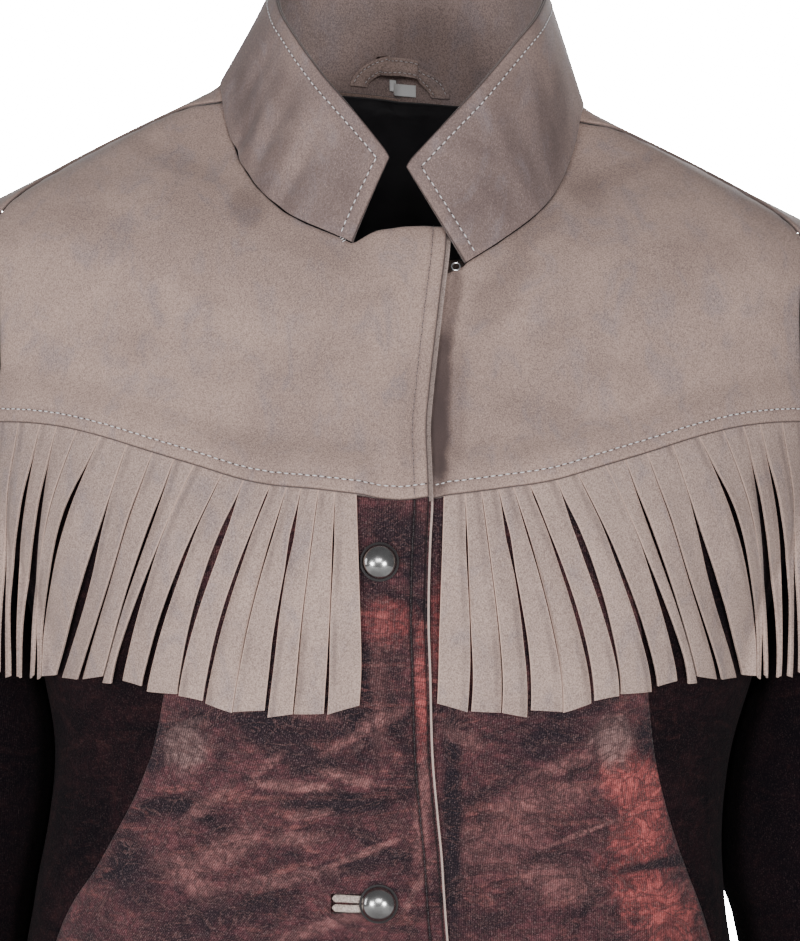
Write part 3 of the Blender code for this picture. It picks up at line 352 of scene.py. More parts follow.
def patch(bottom, right, top, left, across, up):
    """A grid of points between four lines, at shares of their lengths."""
    low, high = at_shares(bottom, across), at_shares(top, across)
    near, far = at_shares(left, up), at_shares(right, up)
    u, v = across[None, :, None], up[:, None, None]
    ruled = (1 - v) * low[None] + v * high[None] + (1 - u) * near[:, None] + u * far[:, None]
    corners = (1 - u) * (1 - v) * low[0] + u * (1 - v) * low[-1] + (1 - u) * v * high[0] + u * v * high[-1]
    return ruled - corners


def on_form(grid, rounds=8):
    return settled(grid.reshape(-1, 3), rounds).reshape(grid.shape)


def beside(*grids):
    """Grids that share edges, as one grid."""
    return np.concatenate([grids[0]] + [g[:, 1:] for g in grids[1:]], axis=1)


def flipped(grid):
    """A grid turned over to the other half of the jacket, still running left to right."""
    return (grid * np.array([-1, 1, 1]))[:, ::-1]


class Skin:
    """A piece's outer surface: its points, its normals and each point's distance from the four edges."""

    def __init__(self, points):
        self.points = points
        across = np.linalg.norm(np.diff(points, axis=1), axis=2)
        upwards = np.linalg.norm(np.diff(points, axis=0), axis=2)
        self.left = np.pad(np.cumsum(across, axis=1), ((0, 0), (1, 0)))
        self.bottom = np.pad(np.cumsum(upwards, axis=0), ((1, 0), (0, 0)))
        self.right = self.left[:, -1:] - self.left
        self.top = self.bottom[-1:] - self.bottom
        n = np.cross(np.gradient(points, axis=1), np.gradient(points, axis=0))
        self.normals = n / np.maximum(np.linalg.norm(n, axis=2, keepdims=True), 1e-12)

    def edge(self):
        return np.minimum(np.minimum(self.left, self.right), np.minimum(self.bottom, self.top))

    def area(self):
        a = np.cross(np.diff(self.points, axis=1)[:-1], np.diff(self.points, axis=0)[:, :-1])
        return float(np.linalg.norm(a, axis=2).sum())

    def line(self, edge, inset, start=0.0, stop=0.0):
        """The line that runs inset from an edge, and the normals along it."""
        turned = edge in ("left", "right")
        away = {"bottom": self.bottom, "top": self.top, "left": self.left, "right": self.right}[edge]
        points, facing = self.points, self.normals
        if turned:
            away, points, facing = away.T, points.transpose(1, 0, 2), facing.transpose(1, 0, 2)
        if edge in ("top", "right"):
            away, points, facing = away[::-1], points[::-1], facing[::-1]
        found, ways = [], []
        for j in range(away.shape[1]):
            found.append([np.interp(inset, away[:, j], points[:, j, k]) for k in range(3)])
            ways.append([np.interp(inset, away[:, j], facing[:, j, k]) for k in range(3)])
        found, ways = np.array(found), np.array(ways)
        along = length_along(found)
        kept = (along >= start) & (along <= along[-1] - stop)
        return found[kept], ways[kept]


def lay(mesh, lower, upper, skin=None, weld=False):
    """Lay a closed shell between two grids of points, with the distances from its edges as its UV maps."""
    rows, columns = upper.shape[:2]
    place = mesh.verts.layers.int.get("place") or mesh.verts.layers.int.new("place")
    level = mesh.verts.layers.int.get("level") or mesh.verts.layers.int.new("level")
    cloth = mesh.loops.layers.uv.get("cloth") or mesh.loops.layers.uv.new("cloth")
    far = mesh.loops.layers.uv.get("far_edges") or mesh.loops.layers.uv.new("far_edges")
    skin = skin or Skin(upper)
    made = bmesh.ops.create_grid(mesh, x_segments=columns - 1, y_segments=rows - 1, size=0.5)
    flat = lower.reshape(-1, 3)
    near = np.stack([skin.left, skin.bottom], axis=2).reshape(-1, 2)
    away = np.stack([skin.right, skin.top], axis=2).reshape(-1, 2)
    faces = set()
    for vert in made["verts"]:
        row, column = round((vert.co.y + 0.5) * (rows - 1)), round((vert.co.x + 0.5) * (columns - 1))
        vert[place] = row * columns + column
        faces.update(vert.link_faces)
    for face in faces:
        face.material_index = 0
        for loop in face.loops:
            loop[cloth].uv = near[loop.vert[place]]
            loop[far].uv = away[loop.vert[place]]
    for vert in made["verts"]:
        vert.co = flat[vert[place]]
    if weld:
        bmesh.ops.remove_doubles(mesh, verts=made["verts"], dist=0.02 * MM)
        faces = [f for f in faces if f.is_valid]
    risen = bmesh.ops.extrude_face_region(mesh, geom=list(faces), use_keep_orig=True)["geom"]
    high = upper.reshape(-1, 3)
    for vert in risen:
        if isinstance(vert, bmesh.types.BMVert):
            vert.co = high[vert[place]]
            vert[level] = 1


def finished(name, mesh, finishes, raw=False):
    """Close the mesh as an object. Walls between the levels get the second finish."""
    level = mesh.verts.layers.int.get("level")
    if level:
        for face in mesh.faces:
            levels = {v[level] for v in face.verts}
            if len(levels) == 2:
                face.material_index = 1
                for edge in face.edges if raw else ():
                    edge.smooth = False
        mesh.verts.layers.int.remove(level)
        mesh.verts.layers.int.remove(mesh.verts.layers.int.get("place"))
    bmesh.ops.recalc_face_normals(mesh, faces=mesh.faces)
    if mesh.calc_volume(signed=True) < 0:
        bmesh.ops.reverse_faces(mesh, faces=mesh.faces)
    for face in mesh.faces:
        face.smooth = True
    data = bpy.data.meshes.new(name)
    mesh.to_mesh(data)
    mesh.free()
    for finish in finishes:
        data.materials.append(finish)
    made = bpy.data.objects.new(name, data)
    bpy.context.scene.collection.objects.link(made)
    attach(made, "root")
    return made


def cloth(name, grid, inner, outer, finishes, lift=None, turn=0.5, raw=False, tucked=0.0):
    """A cloth piece on the form, from height inner to height outer, with its edges turned down by turn.

    tucked is how far its top edge dips into a puckered seam, or rises over the next piece if negative.
    """
    base = grid.reshape(-1, 3)
    out = normals(base)
    skin = Skin(grid)
    pucker = 1 + 0.5 * np.sin(skin.left / (2.3 * MM)) * np.sin(skin.left / (7.9 * MM))
    dip = (tucked * (pucker if tucked > 0 else 1) * (1 - smooth(skin.top / (9 * MM)))).reshape(-1)
    pushed = folds(base) + (lift(base) if lift else 0) - dip
    drop = (turn * CLOTH * (1 - smooth(skin.edge() / (1.6 * MM)))).reshape(-1)
    levels = []
    for height, down in ((inner, 0), (outer, drop)):
        levels.append(stance(base + out * (height + pushed - down)[:, None]).reshape(grid.shape))
    skin = Skin(levels[1])
    mesh = bmesh.new()
    lay(mesh, levels[0], levels[1], skin)
    made = finished(name, mesh, finishes, raw)
    return made, skin


def declare(skin, seam=10 * MM):
    """Work out the piece's area laid flat, with a seam allowance all round; the area is not kept."""
    area = skin.area() + seam * (float(skin.left[0, -1]) + float(skin.bottom[-1, 0]))

# ---------------------------------------------------------------- finishes


class Finish:
    """A material's nodes, added one small step at a time."""

    def __init__(self, name, roughness, **uniform):
        self.material = bpy.data.materials.new(name)
        self.material.use_nodes = True
        self.tree = self.material.node_tree
        self.shader = self.tree.nodes["Principled BSDF"]
        self.shader.inputs["Roughness"].default_value = roughness
        for key, value in uniform.items():
            self.shader.inputs[key.replace("_", " ")].default_value = value
        self.place = self.node("ShaderNodeTexCoord").outputs["Object"]
        self.height = None

    def node(self, kind, settings=(), **inputs):
        made = self.tree.nodes.new(kind)
        for key, value in dict(settings).items():
            setattr(made, key, value)
        for key, value in inputs.items():
            self.put(made.inputs[key.replace("_", " ")], value)
        return made

    def put(self, socket, value):
        if isinstance(value, bpy.types.NodeSocket):
            self.tree.links.new(value, socket)
        else:
            socket.default_value = value

    def math(self, what, a, b=0.0, clamp=False):
        made = self.tree.nodes.new("ShaderNodeMath")
        made.operation = what
        made.use_clamp = clamp
        self.put(made.inputs[0], a)
        self.put(made.inputs[1], b)
        return made.outputs[0]

    def stretched(self, scale, turn=(0, 0, 0)):
        return self.node("ShaderNodeMapping", Vector=self.place, Scale=scale, Rotation=turn).outputs[0]

    def noise(self, scale, detail=2.0, rough=0.5, warp=0.0, at=None):
        return self.node("ShaderNodeTexNoise", Vector=at or self.place, Scale=scale, Detail=detail,
                         Roughness=rough, Distortion=warp).outputs["Fac"]

    def between(self, value, low, high, a=0.0, b=1.0):
        """value eased from a to b as it goes from low to high."""
        made = self.node("ShaderNodeMapRange", {"interpolation_type": "SMOOTHSTEP"}, Value=value)
        for key, number in (("From Min", low), ("From Max", high), ("To Min", a), ("To Max", b)):
            made.inputs[key].default_value = number
        return made.outputs[0]

    def blend(self, share, a, b, how="MIX"):
        made = self.tree.nodes.new("ShaderNodeMix")
        made.data_type = "RGBA"
        made.blend_type = how
        self.put(made.inputs[0], share)
        for socket, value in ((made.inputs[6], a), (made.inputs[7], b)):
            self.put(socket, (*value, 1) if isinstance(value, tuple) else value)
        return made.outputs[2]

    def bump(self, value, strength, distance):
        made = self.node("ShaderNodeBump", Height=value, Strength=strength, Distance=distance)
        if self.height:
            self.tree.links.new(self.height, made.inputs["Normal"])
        self.height = made.outputs[0]

    def from_edge(self, edge):
        """The distance from an edge of the piece, in metres."""
        name = "cloth" if edge in ("left", "bottom") else "far_edges"
        found = self.node("ShaderNodeUVMap", {"uv_map": name}).outputs[0]
        parts = self.node("ShaderNodeSeparateXYZ", Vector=found)
        return parts.outputs[0 if edge in ("left", "right") else 1]

    def groove(self, edge, inset, width):
        """1 along a line of stitching, easing to 0 either side."""
        off = self.math("ABSOLUTE", self.math("SUBTRACT", self.from_edge(edge), inset))
        return self.between(off, 0.0, width, 1.0, 0.0)

    def patch(self, middle, reach, slant, ragged):
        """1 inside a slanted patch, easing to 0 at its ragged rim. middle and reach are (across, up)."""
        near = self.node("ShaderNodeMapping", {"vector_type": "TEXTURE"}, Vector=self.place,
                         Location=(middle[0] * MM, 0, middle[1] * MM), Rotation=(0, -np.radians(slant), 0),
                         Scale=(reach[0] * MM, 1000, reach[1] * MM)).outputs[0]
        away = self.node("ShaderNodeVectorMath", {"operation": "LENGTH"}, Vector=near).outputs["Value"]
        return self.between(self.math("ADD", away, ragged), 1.45, 0.5, 0.0, 1.0)

    def done(self, colour, roughness=None):
        self.put(self.shader.inputs["Base Color"], colour)
        if roughness:
            self.put(self.shader.inputs["Roughness"], roughness)
        if self.height:
            self.tree.links.new(self.height, self.shader.inputs["Normal"])
        return self.material


def suede(name, light=(0.50, 0.352, 0.298), dark=(0.37, 0.262, 0.226), grooves=(), cut=False, shade_and_dark_patches=()):
    """Brushed taupe suede: cloudy nap, a fine speckle, and a hollow along each line of stitching, darkened
    with painted shade.

    Painted shade also lines a turned edge, the dark patches given are partly a painted shadow, and cut strips
    get a band of painted shade beside one edge.
    """
    f = Finish(name, 0.93, Sheen_Weight=0.22, Sheen_Roughness=0.45, Specular_IOR_Level=0.2)
    clouds = f.noise(17, 3, 0.55, 0.4)
    brushed = f.noise(70, 3, 0.6, 0.8, f.stretched((1, 1, 0.55), (0.3, 0.2, 0.5)))
    nap = f.noise(1500, 2, 0.6)
    fibres = f.noise(2600, 1, 0.5, 0.0, f.stretched((1, 1, 0.4)))
    colour = f.blend(f.between(clouds, 0.32, 0.68), dark, light)
    colour = f.blend(f.between(brushed, 0.48, 0.7, 0.0, 0.5), colour, (0.30, 0.25, 0.262))
    colour = f.blend(f.between(nap, 0.36, 0.6, 0.0, 1.0), f.blend(0.5, colour, (0.10, 0.07, 0.065)), colour)
    paler = tuple(min(0.9, 1.35 * part) for part in light)
    colour = f.blend(f.between(fibres, 0.54, 0.7, 0.0, 0.5), colour, paler)
    for edge, inset in grooves:
        # The hollow along each line of stitching is pressed in by a bump and darkened: the darkening is
        # painted shade.
        worn = f.groove(edge, inset, 1.5 * MM)
        colour = f.blend(f.math("MULTIPLY", worn, 0.3), colour, (0.17, 0.125, 0.12))
        f.bump(worn, 0.5, -0.5 * MM)
        if inset > 3 * MM:
            # A dark line along the edge that the stitching follows: painted shade under the turned edge.
            turned = f.math("MULTIPLY", f.groove(edge, 0.0, 1.1 * MM), 0.95)
            colour = f.blend(turned, colour, (0.05, 0.036, 0.034))
    ragged = f.math("MULTIPLY", f.math("SUBTRACT", f.noise(60, 3, 0.6, 0.8), 0.5), 0.9)
    for middle, reach, slant, strength in shade_and_dark_patches:
        # Dark patches, partly a painted shadow beside the lapped front edge.
        inside = f.math("MULTIPLY", f.patch(middle, reach, slant, ragged), strength)
        colour = f.blend(inside, colour, (0.075, 0.052, 0.05))
    if cut:
        rim = f.math("ADD", f.groove("left", 0.0, 0.8 * MM), f.groove("right", 0.0, 0.35 * MM), True)
        colour = f.blend(f.math("MULTIPLY", rim, 0.8), colour, (0.68, 0.46, 0.38))
        shaded = f.math("MULTIPLY", f.groove("right", 2.2 * MM, 2.4 * MM),
                        f.between(f.noise(30, 2, 0.5), 0.4, 0.62, 0.0, 0.5))
        colour = f.blend(shaded, colour, (0.17, 0.125, 0.115))
    f.bump(f.noise(160, 2, 0.5), 0.2, 0.7 * MM)
    f.bump(nap, 0.55, 0.16 * MM)
    return f.done(colour, f.between(nap, 0.3, 0.7, 0.98, 0.86))


def raw_edge(name, colour=(0.56, 0.42, 0.36), dark=(0.30, 0.20, 0.17)):
    """The pale cut edge of a skin, with its loose fibres."""
    f = Finish(name, 0.9, Sheen_Weight=0.3)
    grain = f.noise(1500, 3, 0.7)
    f.bump(grain, 0.6, 0.2 * MM)
    return f.done(f.blend(f.between(grain, 0.35, 0.65), dark, colour))


# INK is near-black dye, also used for painted shade and shadow in the front marks; PINK also paints
# highlights on crease ridges there.
RUST, PINK, PALE, INK = (0.64, 0.15, 0.14), (0.42, 0.185, 0.175), (0.37, 0.22, 0.205), (0.016, 0.014, 0.021)

# Dye marks on the fronts, with a few painted highlights on crease ridges, painted shade in a crease and
# painted shadow beside the lapped edge: middle (across, up), reach, slant in degrees, colour and how strong.
MARKS = {
    -1: [
        ((-97, -291), (10, 11), 0, PALE, 0.9), ((-126, -283), (15, 24), 0, INK, 0.85),
        ((-112, -290), (5, 14), 8, INK, 0.7), ((-79, -291), (5, 12), -10, INK, 0.5),
        ((-54, -289), (24, 7), -24, INK, 0.75), ((-66, -273), (26, 6), 0, INK, 0.7),
        ((-28, -318), (26, 4), -4, INK, 0.9), ((-30, -296), (20, 4), 24, INK, 0.6),
        ((-14, -333), (12, 3), -30, INK, 0.7), ((-26, -346), (26, 4), 12, INK, 0.8),
        ((-50, -309), (18, 2.6), -3, PINK, 0.9), ((-24, -305), (13, 2.6), -14, PINK, 0.85),
        ((-40, -322), (9, 2), 8, PINK, 0.8), ((-22, -287), (16, 2.2), 30, PINK, 0.7),
        ((-8, -278), (10, 3), 16, PINK, 0.7), ((-47, -333), (13, 3), 4, PINK, 0.8),
        ((-78, -338), (18, 7), 28, PINK, 0.6), ((-96, -352), (18, 6), -32, PINK, 0.6),
        # Next line: the first mark is a painted highlight on a crease ridge.
        ((-18, -340), (15, 1.5), 22, PINK, 0.85), ((-56, -352), (26, 3), 10, PINK, 0.55),
        ((-72, -366), (26, 4), 16, INK, 0.5), ((-34, -372), (24, 3), 20, PINK, 0.6),
        ((-9, -262), (4, 30), 0, PINK, 0.4), ((10.2, -268), (3.6, 26), 0, RUST, 0.8),
        # Next line: the last mark is a painted highlight on a crease ridge.
        ((10.5, -316), (3.4, 24), -4, PINK, 0.6), ((8, -354), (14, 1.5), 62, PINK, 0.8),
        ((-120, -352), (14, 18), 30, INK, 0.6), ((-5, -234), (12, 9), 0, RUST, 0.5),
        ((-6, -250), (11, 3), 0, INK, 0.5), ((-4, -192), (15, 8), 0, INK, 0.85),
        ((6, -205), (5, 18), 0, INK, 0.7), ((-96, -372), (26, 8), 30, INK, 0.6),
        ((-60, -300), (10, 2), 40, PINK, 0.5), ((-88, -318), (16, 3), 35, PINK, 0.5),
        ((-40, -276), (12, 3), -10, PINK, 0.5), ((-70, -440), (50, 20), 20, INK, 0.5),
        ((-40, -500), (40, 14), -15, PINK, 0.4), ((-110, -560), (40, 30), 10, INK, 0.5),
        ((-30, -570), (30, 16), 25, PINK, 0.4), ((-100, -470), (22, 18), 0, RUST, 0.5),
    ],
    1: [
        ((106, -309), (17, 13), -50, RUST, 1.0), ((109, -333), (13, 12), -60, RUST, 0.95),
        ((116, -364), (24, 13), -48, RUST, 0.95), ((97, -290), (9, 11), 0, PALE, 0.85),
        # Next line: the first mark is painted shade in a deep crease by the side seam.
        ((116, -347), (20, 2.6), 8, INK, 0.95), ((112, -290), (5, 10), -8, INK, 0.6),
        ((66, -289), (20, 7), 20, INK, 0.75), ((56, -273), (28, 6), 0, INK, 0.6),
        ((44, -334), (24, 12), 20, PINK, 0.4), ((70, -352), (22, 9), -16, PINK, 0.5),
        # Next line: the last mark is a painted shadow cast by the lapped right front beside its edge.
        ((64, -316), (24, 6), 8, PINK, 0.5), ((23.5, -322), (4.5, 60), 0, INK, 0.95),
        ((30, -288), (13, 3), -22, PINK, 0.7), ((120, -280), (14, 9), 0, INK, 0.7),
        # Next line: the last mark is a painted highlight on a crease ridge.
        ((36, -372), (24, 6), 15, INK, 0.6), ((86, -330), (17, 1.2), 20, PINK, 0.9),
        ((52, -300), (20, 3), -18, INK, 0.6), ((40, -312), (16, 3), 25, INK, 0.6),
        ((56, -340), (22, 3), -12, INK, 0.5), ((88, -362), (12, 3), 40, INK, 0.6),
        ((74, -300), (16, 3), 18, PINK, 0.5), ((16.5, -235), (3, 30), 0, RUST, 0.4),
        # Next line: the first mark is a painted shadow beside the lapped edge.
        ((16, -200), (5, 18), 0, INK, 0.8), ((70, -430), (50, 18), -20, INK, 0.5),
        ((100, -420), (26, 18), 20, RUST, 0.6), ((50, -490), (40, 14), 20, PINK, 0.4),
        ((110, -540), (36, 30), 0, INK, 0.5), ((60, -560), (36, 16), -20, PINK, 0.4),
    ],
}


# Dye marks on the back, larger and fewer.
BACK_MARKS = [
    ((-90, -260), (60, 26), 24, INK, 0.7), ((60, -240), (70, 22), -18, PINK, 0.45),
    ((-30, -330), (80, 16), 12, PINK, 0.45), ((100, -340), (44, 40), -40, RUST, 0.5),
    ((-120, -400), (40, 34), 30, RUST, 0.4), ((20, -420), (90, 20), -16, INK, 0.6),
    ((90, -480), (60, 24), 20, PINK, 0.4), ((-60, -500), (70, 26), -24, INK, 0.6),
    ((0, -560), (90, 18), 8, PINK, 0.4), ((0, -210), (110, 14), 0, INK, 0.6),
    ((150, -300), (26, 140), 0, INK, 0.7), ((-150, -300), (26, 140), 0, INK, 0.7),
]


def dyed(name, marks=(), depth=0.0, grooves=(), ribs=True, suede_above=None, pale_rim=False):
    """Hand-dyed leather with a brushed, ribbed face: veins and clouds of dye, from wine to near black.

    Most marks given are dye; a few are painted highlights on crease ridges, painted shade in a crease and
    painted shadow beside the lapped edge. Stitch hollows are darkened with painted shade.
    """
    f = Finish(name, 0.9, Sheen_Weight=0.1 - 0.09 * depth, Sheen_Roughness=0.5,
               Specular_IOR_Level=0.1 - 0.08 * depth)
    ragged = f.math("MULTIPLY", f.math("SUBTRACT", f.noise(75, 4, 0.6, 1.0), 0.5), 1.9)
    clouds = f.noise(20, 5, 0.62, 1.4, f.stretched((1, 1, 1.5), (0, 0.45, 0)))
    streaks = f.noise(46, 5, 0.65, 2.4, f.stretched((0.45, 0.8, 1.9), (0, -0.22, 0)))
    veins = f.math("ABSOLUTE", f.math("SUBTRACT", f.noise(38, 4, 0.6, 1.8), 0.5))
    nap = f.noise(1500, 2, 0.7)
    colour = f.blend(f.between(clouds, 0.34, 0.62), (0.022, 0.013, 0.018), (0.175, 0.064, 0.072))
    colour = f.blend(f.between(streaks, 0.5, 0.68, 0.0, 0.85), colour, (0.30, 0.112, 0.104))
    colour = f.blend(f.between(streaks, 0.46, 0.3, 0.0, 0.7), colour, (0.016, 0.015, 0.022))
    for middle, reach, slant, shade, strength in marks:
        # Most marks are dye; a few are painted highlights on crease ridges, painted crease shade and painted
        # shadow beside the lapped edge.
        inside = f.math("MULTIPLY", f.patch(middle, reach, slant, ragged), strength)
        colour = f.blend(inside, colour, shade)
    colour = f.blend(f.between(veins, 0.0, 0.10, 0.30, 0.0), colour, (0.02, 0.016, 0.022))
    slanted = f.noise(62, 3, 0.55, 2.0, f.stretched((0.7, 1, 1.3), (0, 0.5, 0)))
    wrinkles = f.math("ABSOLUTE", f.math("SUBTRACT", slanted, 0.5))
    colour = f.blend(f.between(wrinkles, 0.0, 0.028, 0.55 * (1 - depth), 0.0), colour, (0.30, 0.15, 0.14))
    colour = f.blend(f.between(wrinkles, 0.03, 0.075, 0.4, 0.0), colour, (0.02, 0.014, 0.018))
    f.bump(f.between(wrinkles, 0.0, 0.06, 1.0, 0.0), 0.5, 0.5 * MM)
    colour = f.blend(f.between(f.noise(230, 3, 0.6, 0.8), 0.4, 0.62, 0.45, 0.0), colour, (0.03, 0.02, 0.025))
    if depth:
        colour = f.blend(depth, colour, (0.0035, 0.0028, 0.004))
    if suede_above is not None:
        parts = f.node("ShaderNodeSeparateXYZ", Vector=f.place).outputs
        above = f.between(parts[2], suede_above - 0.4 * MM, suede_above + 0.4 * MM)
        colour = f.blend(above, colour, (0.40, 0.31, 0.28))
    specks = f.between(nap, 0.52, 0.72, 0.0, 0.27 * (1 - 0.85 * depth))
    colour = f.blend(specks, colour, (0.50, 0.33, 0.32))
    colour = f.blend(f.between(nap, 0.32, 0.52, 0.42, 0.0), colour, (0.004, 0.003, 0.005))
    if ribs:
        rib = f.math("SINE", f.math("MULTIPLY", f.from_edge("left"), 2 * np.pi / (1.05 * MM)))
        colour = f.blend(f.between(rib, -1.0, 1.0, 0.42, 0.0), colour, (0.006, 0.004, 0.006))
        f.bump(rib, 0.45, 0.14 * MM)
    for edge, inset in grooves:
        # Each line of stitching sinks in a hollow darkened almost to black: painted shade, over a real bump.
        worn = f.groove(edge, inset, 1.4 * MM)
        colour = f.blend(f.math("MULTIPLY", worn, 0.85), colour, (0.008, 0.005, 0.007))
        f.bump(worn, 0.8, -0.8 * MM)
    if pale_rim:
        parts = f.node("ShaderNodeSeparateXYZ", Vector=f.place).outputs
        pale = f.math("MULTIPLY", f.between(f.from_edge("right"), 0.75 * MM, 1.15 * MM, 0.9, 0.0),
                      f.between(parts[2], suede_above - 0.4 * MM, suede_above + 0.4 * MM, 1.0, 0.0))
        colour = f.blend(pale, colour, (0.60, 0.46, 0.41))
    f.bump(f.noise(240, 3, 0.6), 0.3, 0.5 * MM)
    f.bump(nap, 0.35, 0.12 * MM)
    return f.done(colour, f.between(nap, 0.3, 0.7, 0.98, 0.9))


def satin():
    f = Finish("black_satin_lining", 0.42, Specular_IOR_Level=0.45, Sheen_Weight=0.1)
    across = f.from_edge("left")
    slanting = f.math("ADD", across, f.from_edge("bottom"))
    twill = f.math("SINE", f.math("MULTIPLY", slanting, 2 * np.pi / (0.5 * MM)))
    cloudy = f.noise(60, 2, 0.5)
    f.bump(f.noise(90, 2, 0.5, 0.6), 0.3, 1.2 * MM)
    f.bump(twill, 0.25, 0.05 * MM)
    return f.done(f.blend(f.between(cloudy, 0.3, 0.7), (0.006, 0.005, 0.007), (0.014, 0.012, 0.015)),
                  f.between(cloudy, 0.3, 0.7, 0.36, 0.5))


def label_weave():
    f = Finish("blank_label", 0.8, Sheen_Weight=0.15)
    warp = f.math("SINE", f.math("MULTIPLY", f.from_edge("left"), 2 * np.pi / (0.35 * MM)))
    weft = f.math("SINE", f.math("MULTIPLY", f.from_edge("bottom"), 2 * np.pi / (0.35 * MM)))
    weave = f.math("MULTIPLY", warp, weft)
    f.bump(weave, 0.5, 0.08 * MM)
    return f.done(f.blend(f.between(weave, -1, 1), (0.80, 0.80, 0.80), (0.97, 0.97, 0.96)))


def thread(name, colour, dark):
    f = Finish(name, 0.6, Sheen_Weight=0.2)
    ply = f.noise(2600, 1, 0.5)
    f.bump(ply, 0.5, 0.08 * MM)
    return f.done(f.blend(f.between(ply, 0.35, 0.65), dark, colour))


def metal(name, bright, dark, roughness):
    """Polished metal with faint hairlines, duller and darker where polish never reaches."""
    f = Finish(name, roughness, Metallic=1.0)
    smears = f.noise(140, 3, 0.6, 0.6)
    hair = f.noise(900, 2, 0.5, 0.0, f.stretched((1, 1, 6)))
    f.bump(hair, 0.04, 0.02 * MM)
    return f.done(f.blend(f.between(smears, 0.4, 0.75, 0.0, 0.5), bright, dark),
                  f.between(smears, 0.3, 0.8, roughness, roughness + 0.12))


SUEDE_EDGE = raw_edge("cut_suede_edge")
# The walls of turned suede edges are a darker copy of the suede: painted shade.
SHADED_TURNED_EDGE = suede("shaded_turned_suede_edge", (0.25, 0.18, 0.16), (0.16, 0.12, 0.11))
DARK_EDGE = raw_edge("dyed_cut_edge", (0.12, 0.06, 0.06), (0.02, 0.012, 0.014))
PALE_EDGE = raw_edge("pale_cut_edge", (0.62, 0.52, 0.47), (0.34, 0.24, 0.21))
LIGHT_THREAD = thread("light_thread", (0.95, 0.93, 0.94), (0.6, 0.57, 0.58))
DARK_THREAD = thread("dark_thread", (0.06, 0.04, 0.045), (0.012, 0.008, 0.01))
TAUPE_THREAD = thread("taupe_thread", (0.30, 0.24, 0.23), (0.10, 0.07, 0.07))
# Needle holes are flat dark blobs, painted shade for the hollow of each hole.
NEEDLE_HOLE_SHADE = thread("needle_hole_shade", (0.035, 0.025, 0.025), (0.012, 0.008, 0.008))
CHROME = metal("polished_dome", (0.42, 0.415, 0.41), (0.16, 0.155, 0.155), 0.16)
# The button's rim is painted black: painted shade round the foot of the dome.
RIM_SHADE_BLACK = thread("rim_painted_shade", (0.016, 0.010, 0.011), (0.006, 0.004, 0.005))

# ---------------------------------------------------------------- stitching


class Stitching:
    """One object that holds many stitches: a rounded thread for each, and a flat dark blob of painted shade
    for its needle hole.
    """

    def __init__(self, name, thread_finish, hole_shade_finish=NEEDLE_HOLE_SHADE):
        self.name, self.finishes = name, (thread_finish, hole_shade_finish)
        self.mesh, self.few = bmesh.new(), bmesh.new()

    def ball(self, place, along, facing, size, finish):
        x = Vector(along).normalized()
        z = (Vector(facing) - Vector(facing).dot(x) * x).normalized()
        turn = Matrix((x, z.cross(x), z)).transposed().to_4x4()
        fit = Matrix.Translation(Vector(place)) @ turn @ Matrix.Diagonal((*size, 1))
        made = bmesh.ops.create_uvsphere(self.few, u_segments=6, v_segments=4, radius=1, matrix=fit)
        for vert in made["verts"]:
            for face in vert.link_faces:
                face.material_index = finish
        if len(self.few.verts) > 600:
            self.gather()

    def gather(self):
        """Move the few stitches just made over to the rest, because a small mesh is quick to add to."""
        data = bpy.data.meshes.new("few")
        self.few.to_mesh(data)
        self.mesh.from_mesh(data)
        bpy.data.meshes.remove(data)
        self.few.clear()

    def run(self, line, pitch=STITCH, width=0.34 * MM, rise=0.16 * MM, shows=0.36):
        """Stitches along a line on the cloth."""
        points, facing = line
        along = length_along(points)
        count = int(along[-1] / pitch)
        for k in range(count):
            middle = (k + 0.5) * along[-1] / count
            ends = [[np.interp(at, along, points[:, i]) for i in range(3)]
                    for at in (middle - 0.2 * MM, middle + 0.2 * MM)]
            out = np.array([np.interp(middle, along, facing[:, i]) for i in range(3)])
            way, place = np.subtract(ends[1], ends[0]), np.mean(ends, axis=0)
            wobble = 0.10 * MM * np.sin(k * 2.4)
            side = np.cross(out, way / np.linalg.norm(way))
            self.ball(place + out * rise + side * wobble, way, out, (pitch * shows, width, width * 0.8), 0)
            # Each needle hole is a flat dark blob just under the surface: painted shade.
            hole = place + way / np.linalg.norm(way) * pitch * 0.5
            self.ball(hole - out * 0.02 * MM, way, out, (pitch * 0.13, width * 1.1, 0.12 * MM), 1)

    def done(self):
        self.gather()
        self.few.free()
        made = finished(self.name, self.mesh, self.finishes)
        return made

# ---------------------------------------------------------------- yokes, fronts and side panels


def seam_lines(side):
    """The neck seam, shoulder seam and armhole of one half, worked out at +X."""
    neck = settled(NECK[side])
    ridge = np.concatenate([neck[NECK_SEAM_TURN][None], settled(SHOULDER_SEAM)])
    tip, pit = ridge[-1], settled(UNDERARM[None])[0]
    front = np.concatenate([[tip], seen(ARMHOLE_FRONT), [pit]])
    back = np.concatenate([[tip], seen(ARMHOLE_BACK, 1), [pit]])
    lines = {
        "neck_front": on_curve(neck[: NECK_SEAM_TURN + 1]), "neck_back": on_curve(neck[NECK_SEAM_TURN:]),
        "shoulder": on_curve(ridge), "hole_front": on_curve(front), "hole_back": on_curve(back),
    }
    for way, points in (("front", front), ("back", back)):
        along = length_along(points)
        lines[way + "_share"] = along[HEM_AT] / along[-1]
    return lines


def part_of(line, start, end, count=200):
    return at_shares(line, np.linspace(start, end, count))


def inner_at(inner, height):
    order = np.argsort(inner[:, 1])
    return np.interp(height, inner[order, 1], inner[order, 0])


def front_line(inner, low, high, count=200):
    heights = np.linspace(low, high, count)
    return seen(np.stack([inner_at(inner, heights), heights], axis=1))


def side_line():
    heights = np.linspace(-LENGTH, UNDERARM[2], 80)
    half = spline(heights, FORM[:, 0], FORM[:, 1])
    return settled(np.stack([half, UNDERARM[1] + 0 * half, heights], axis=1))


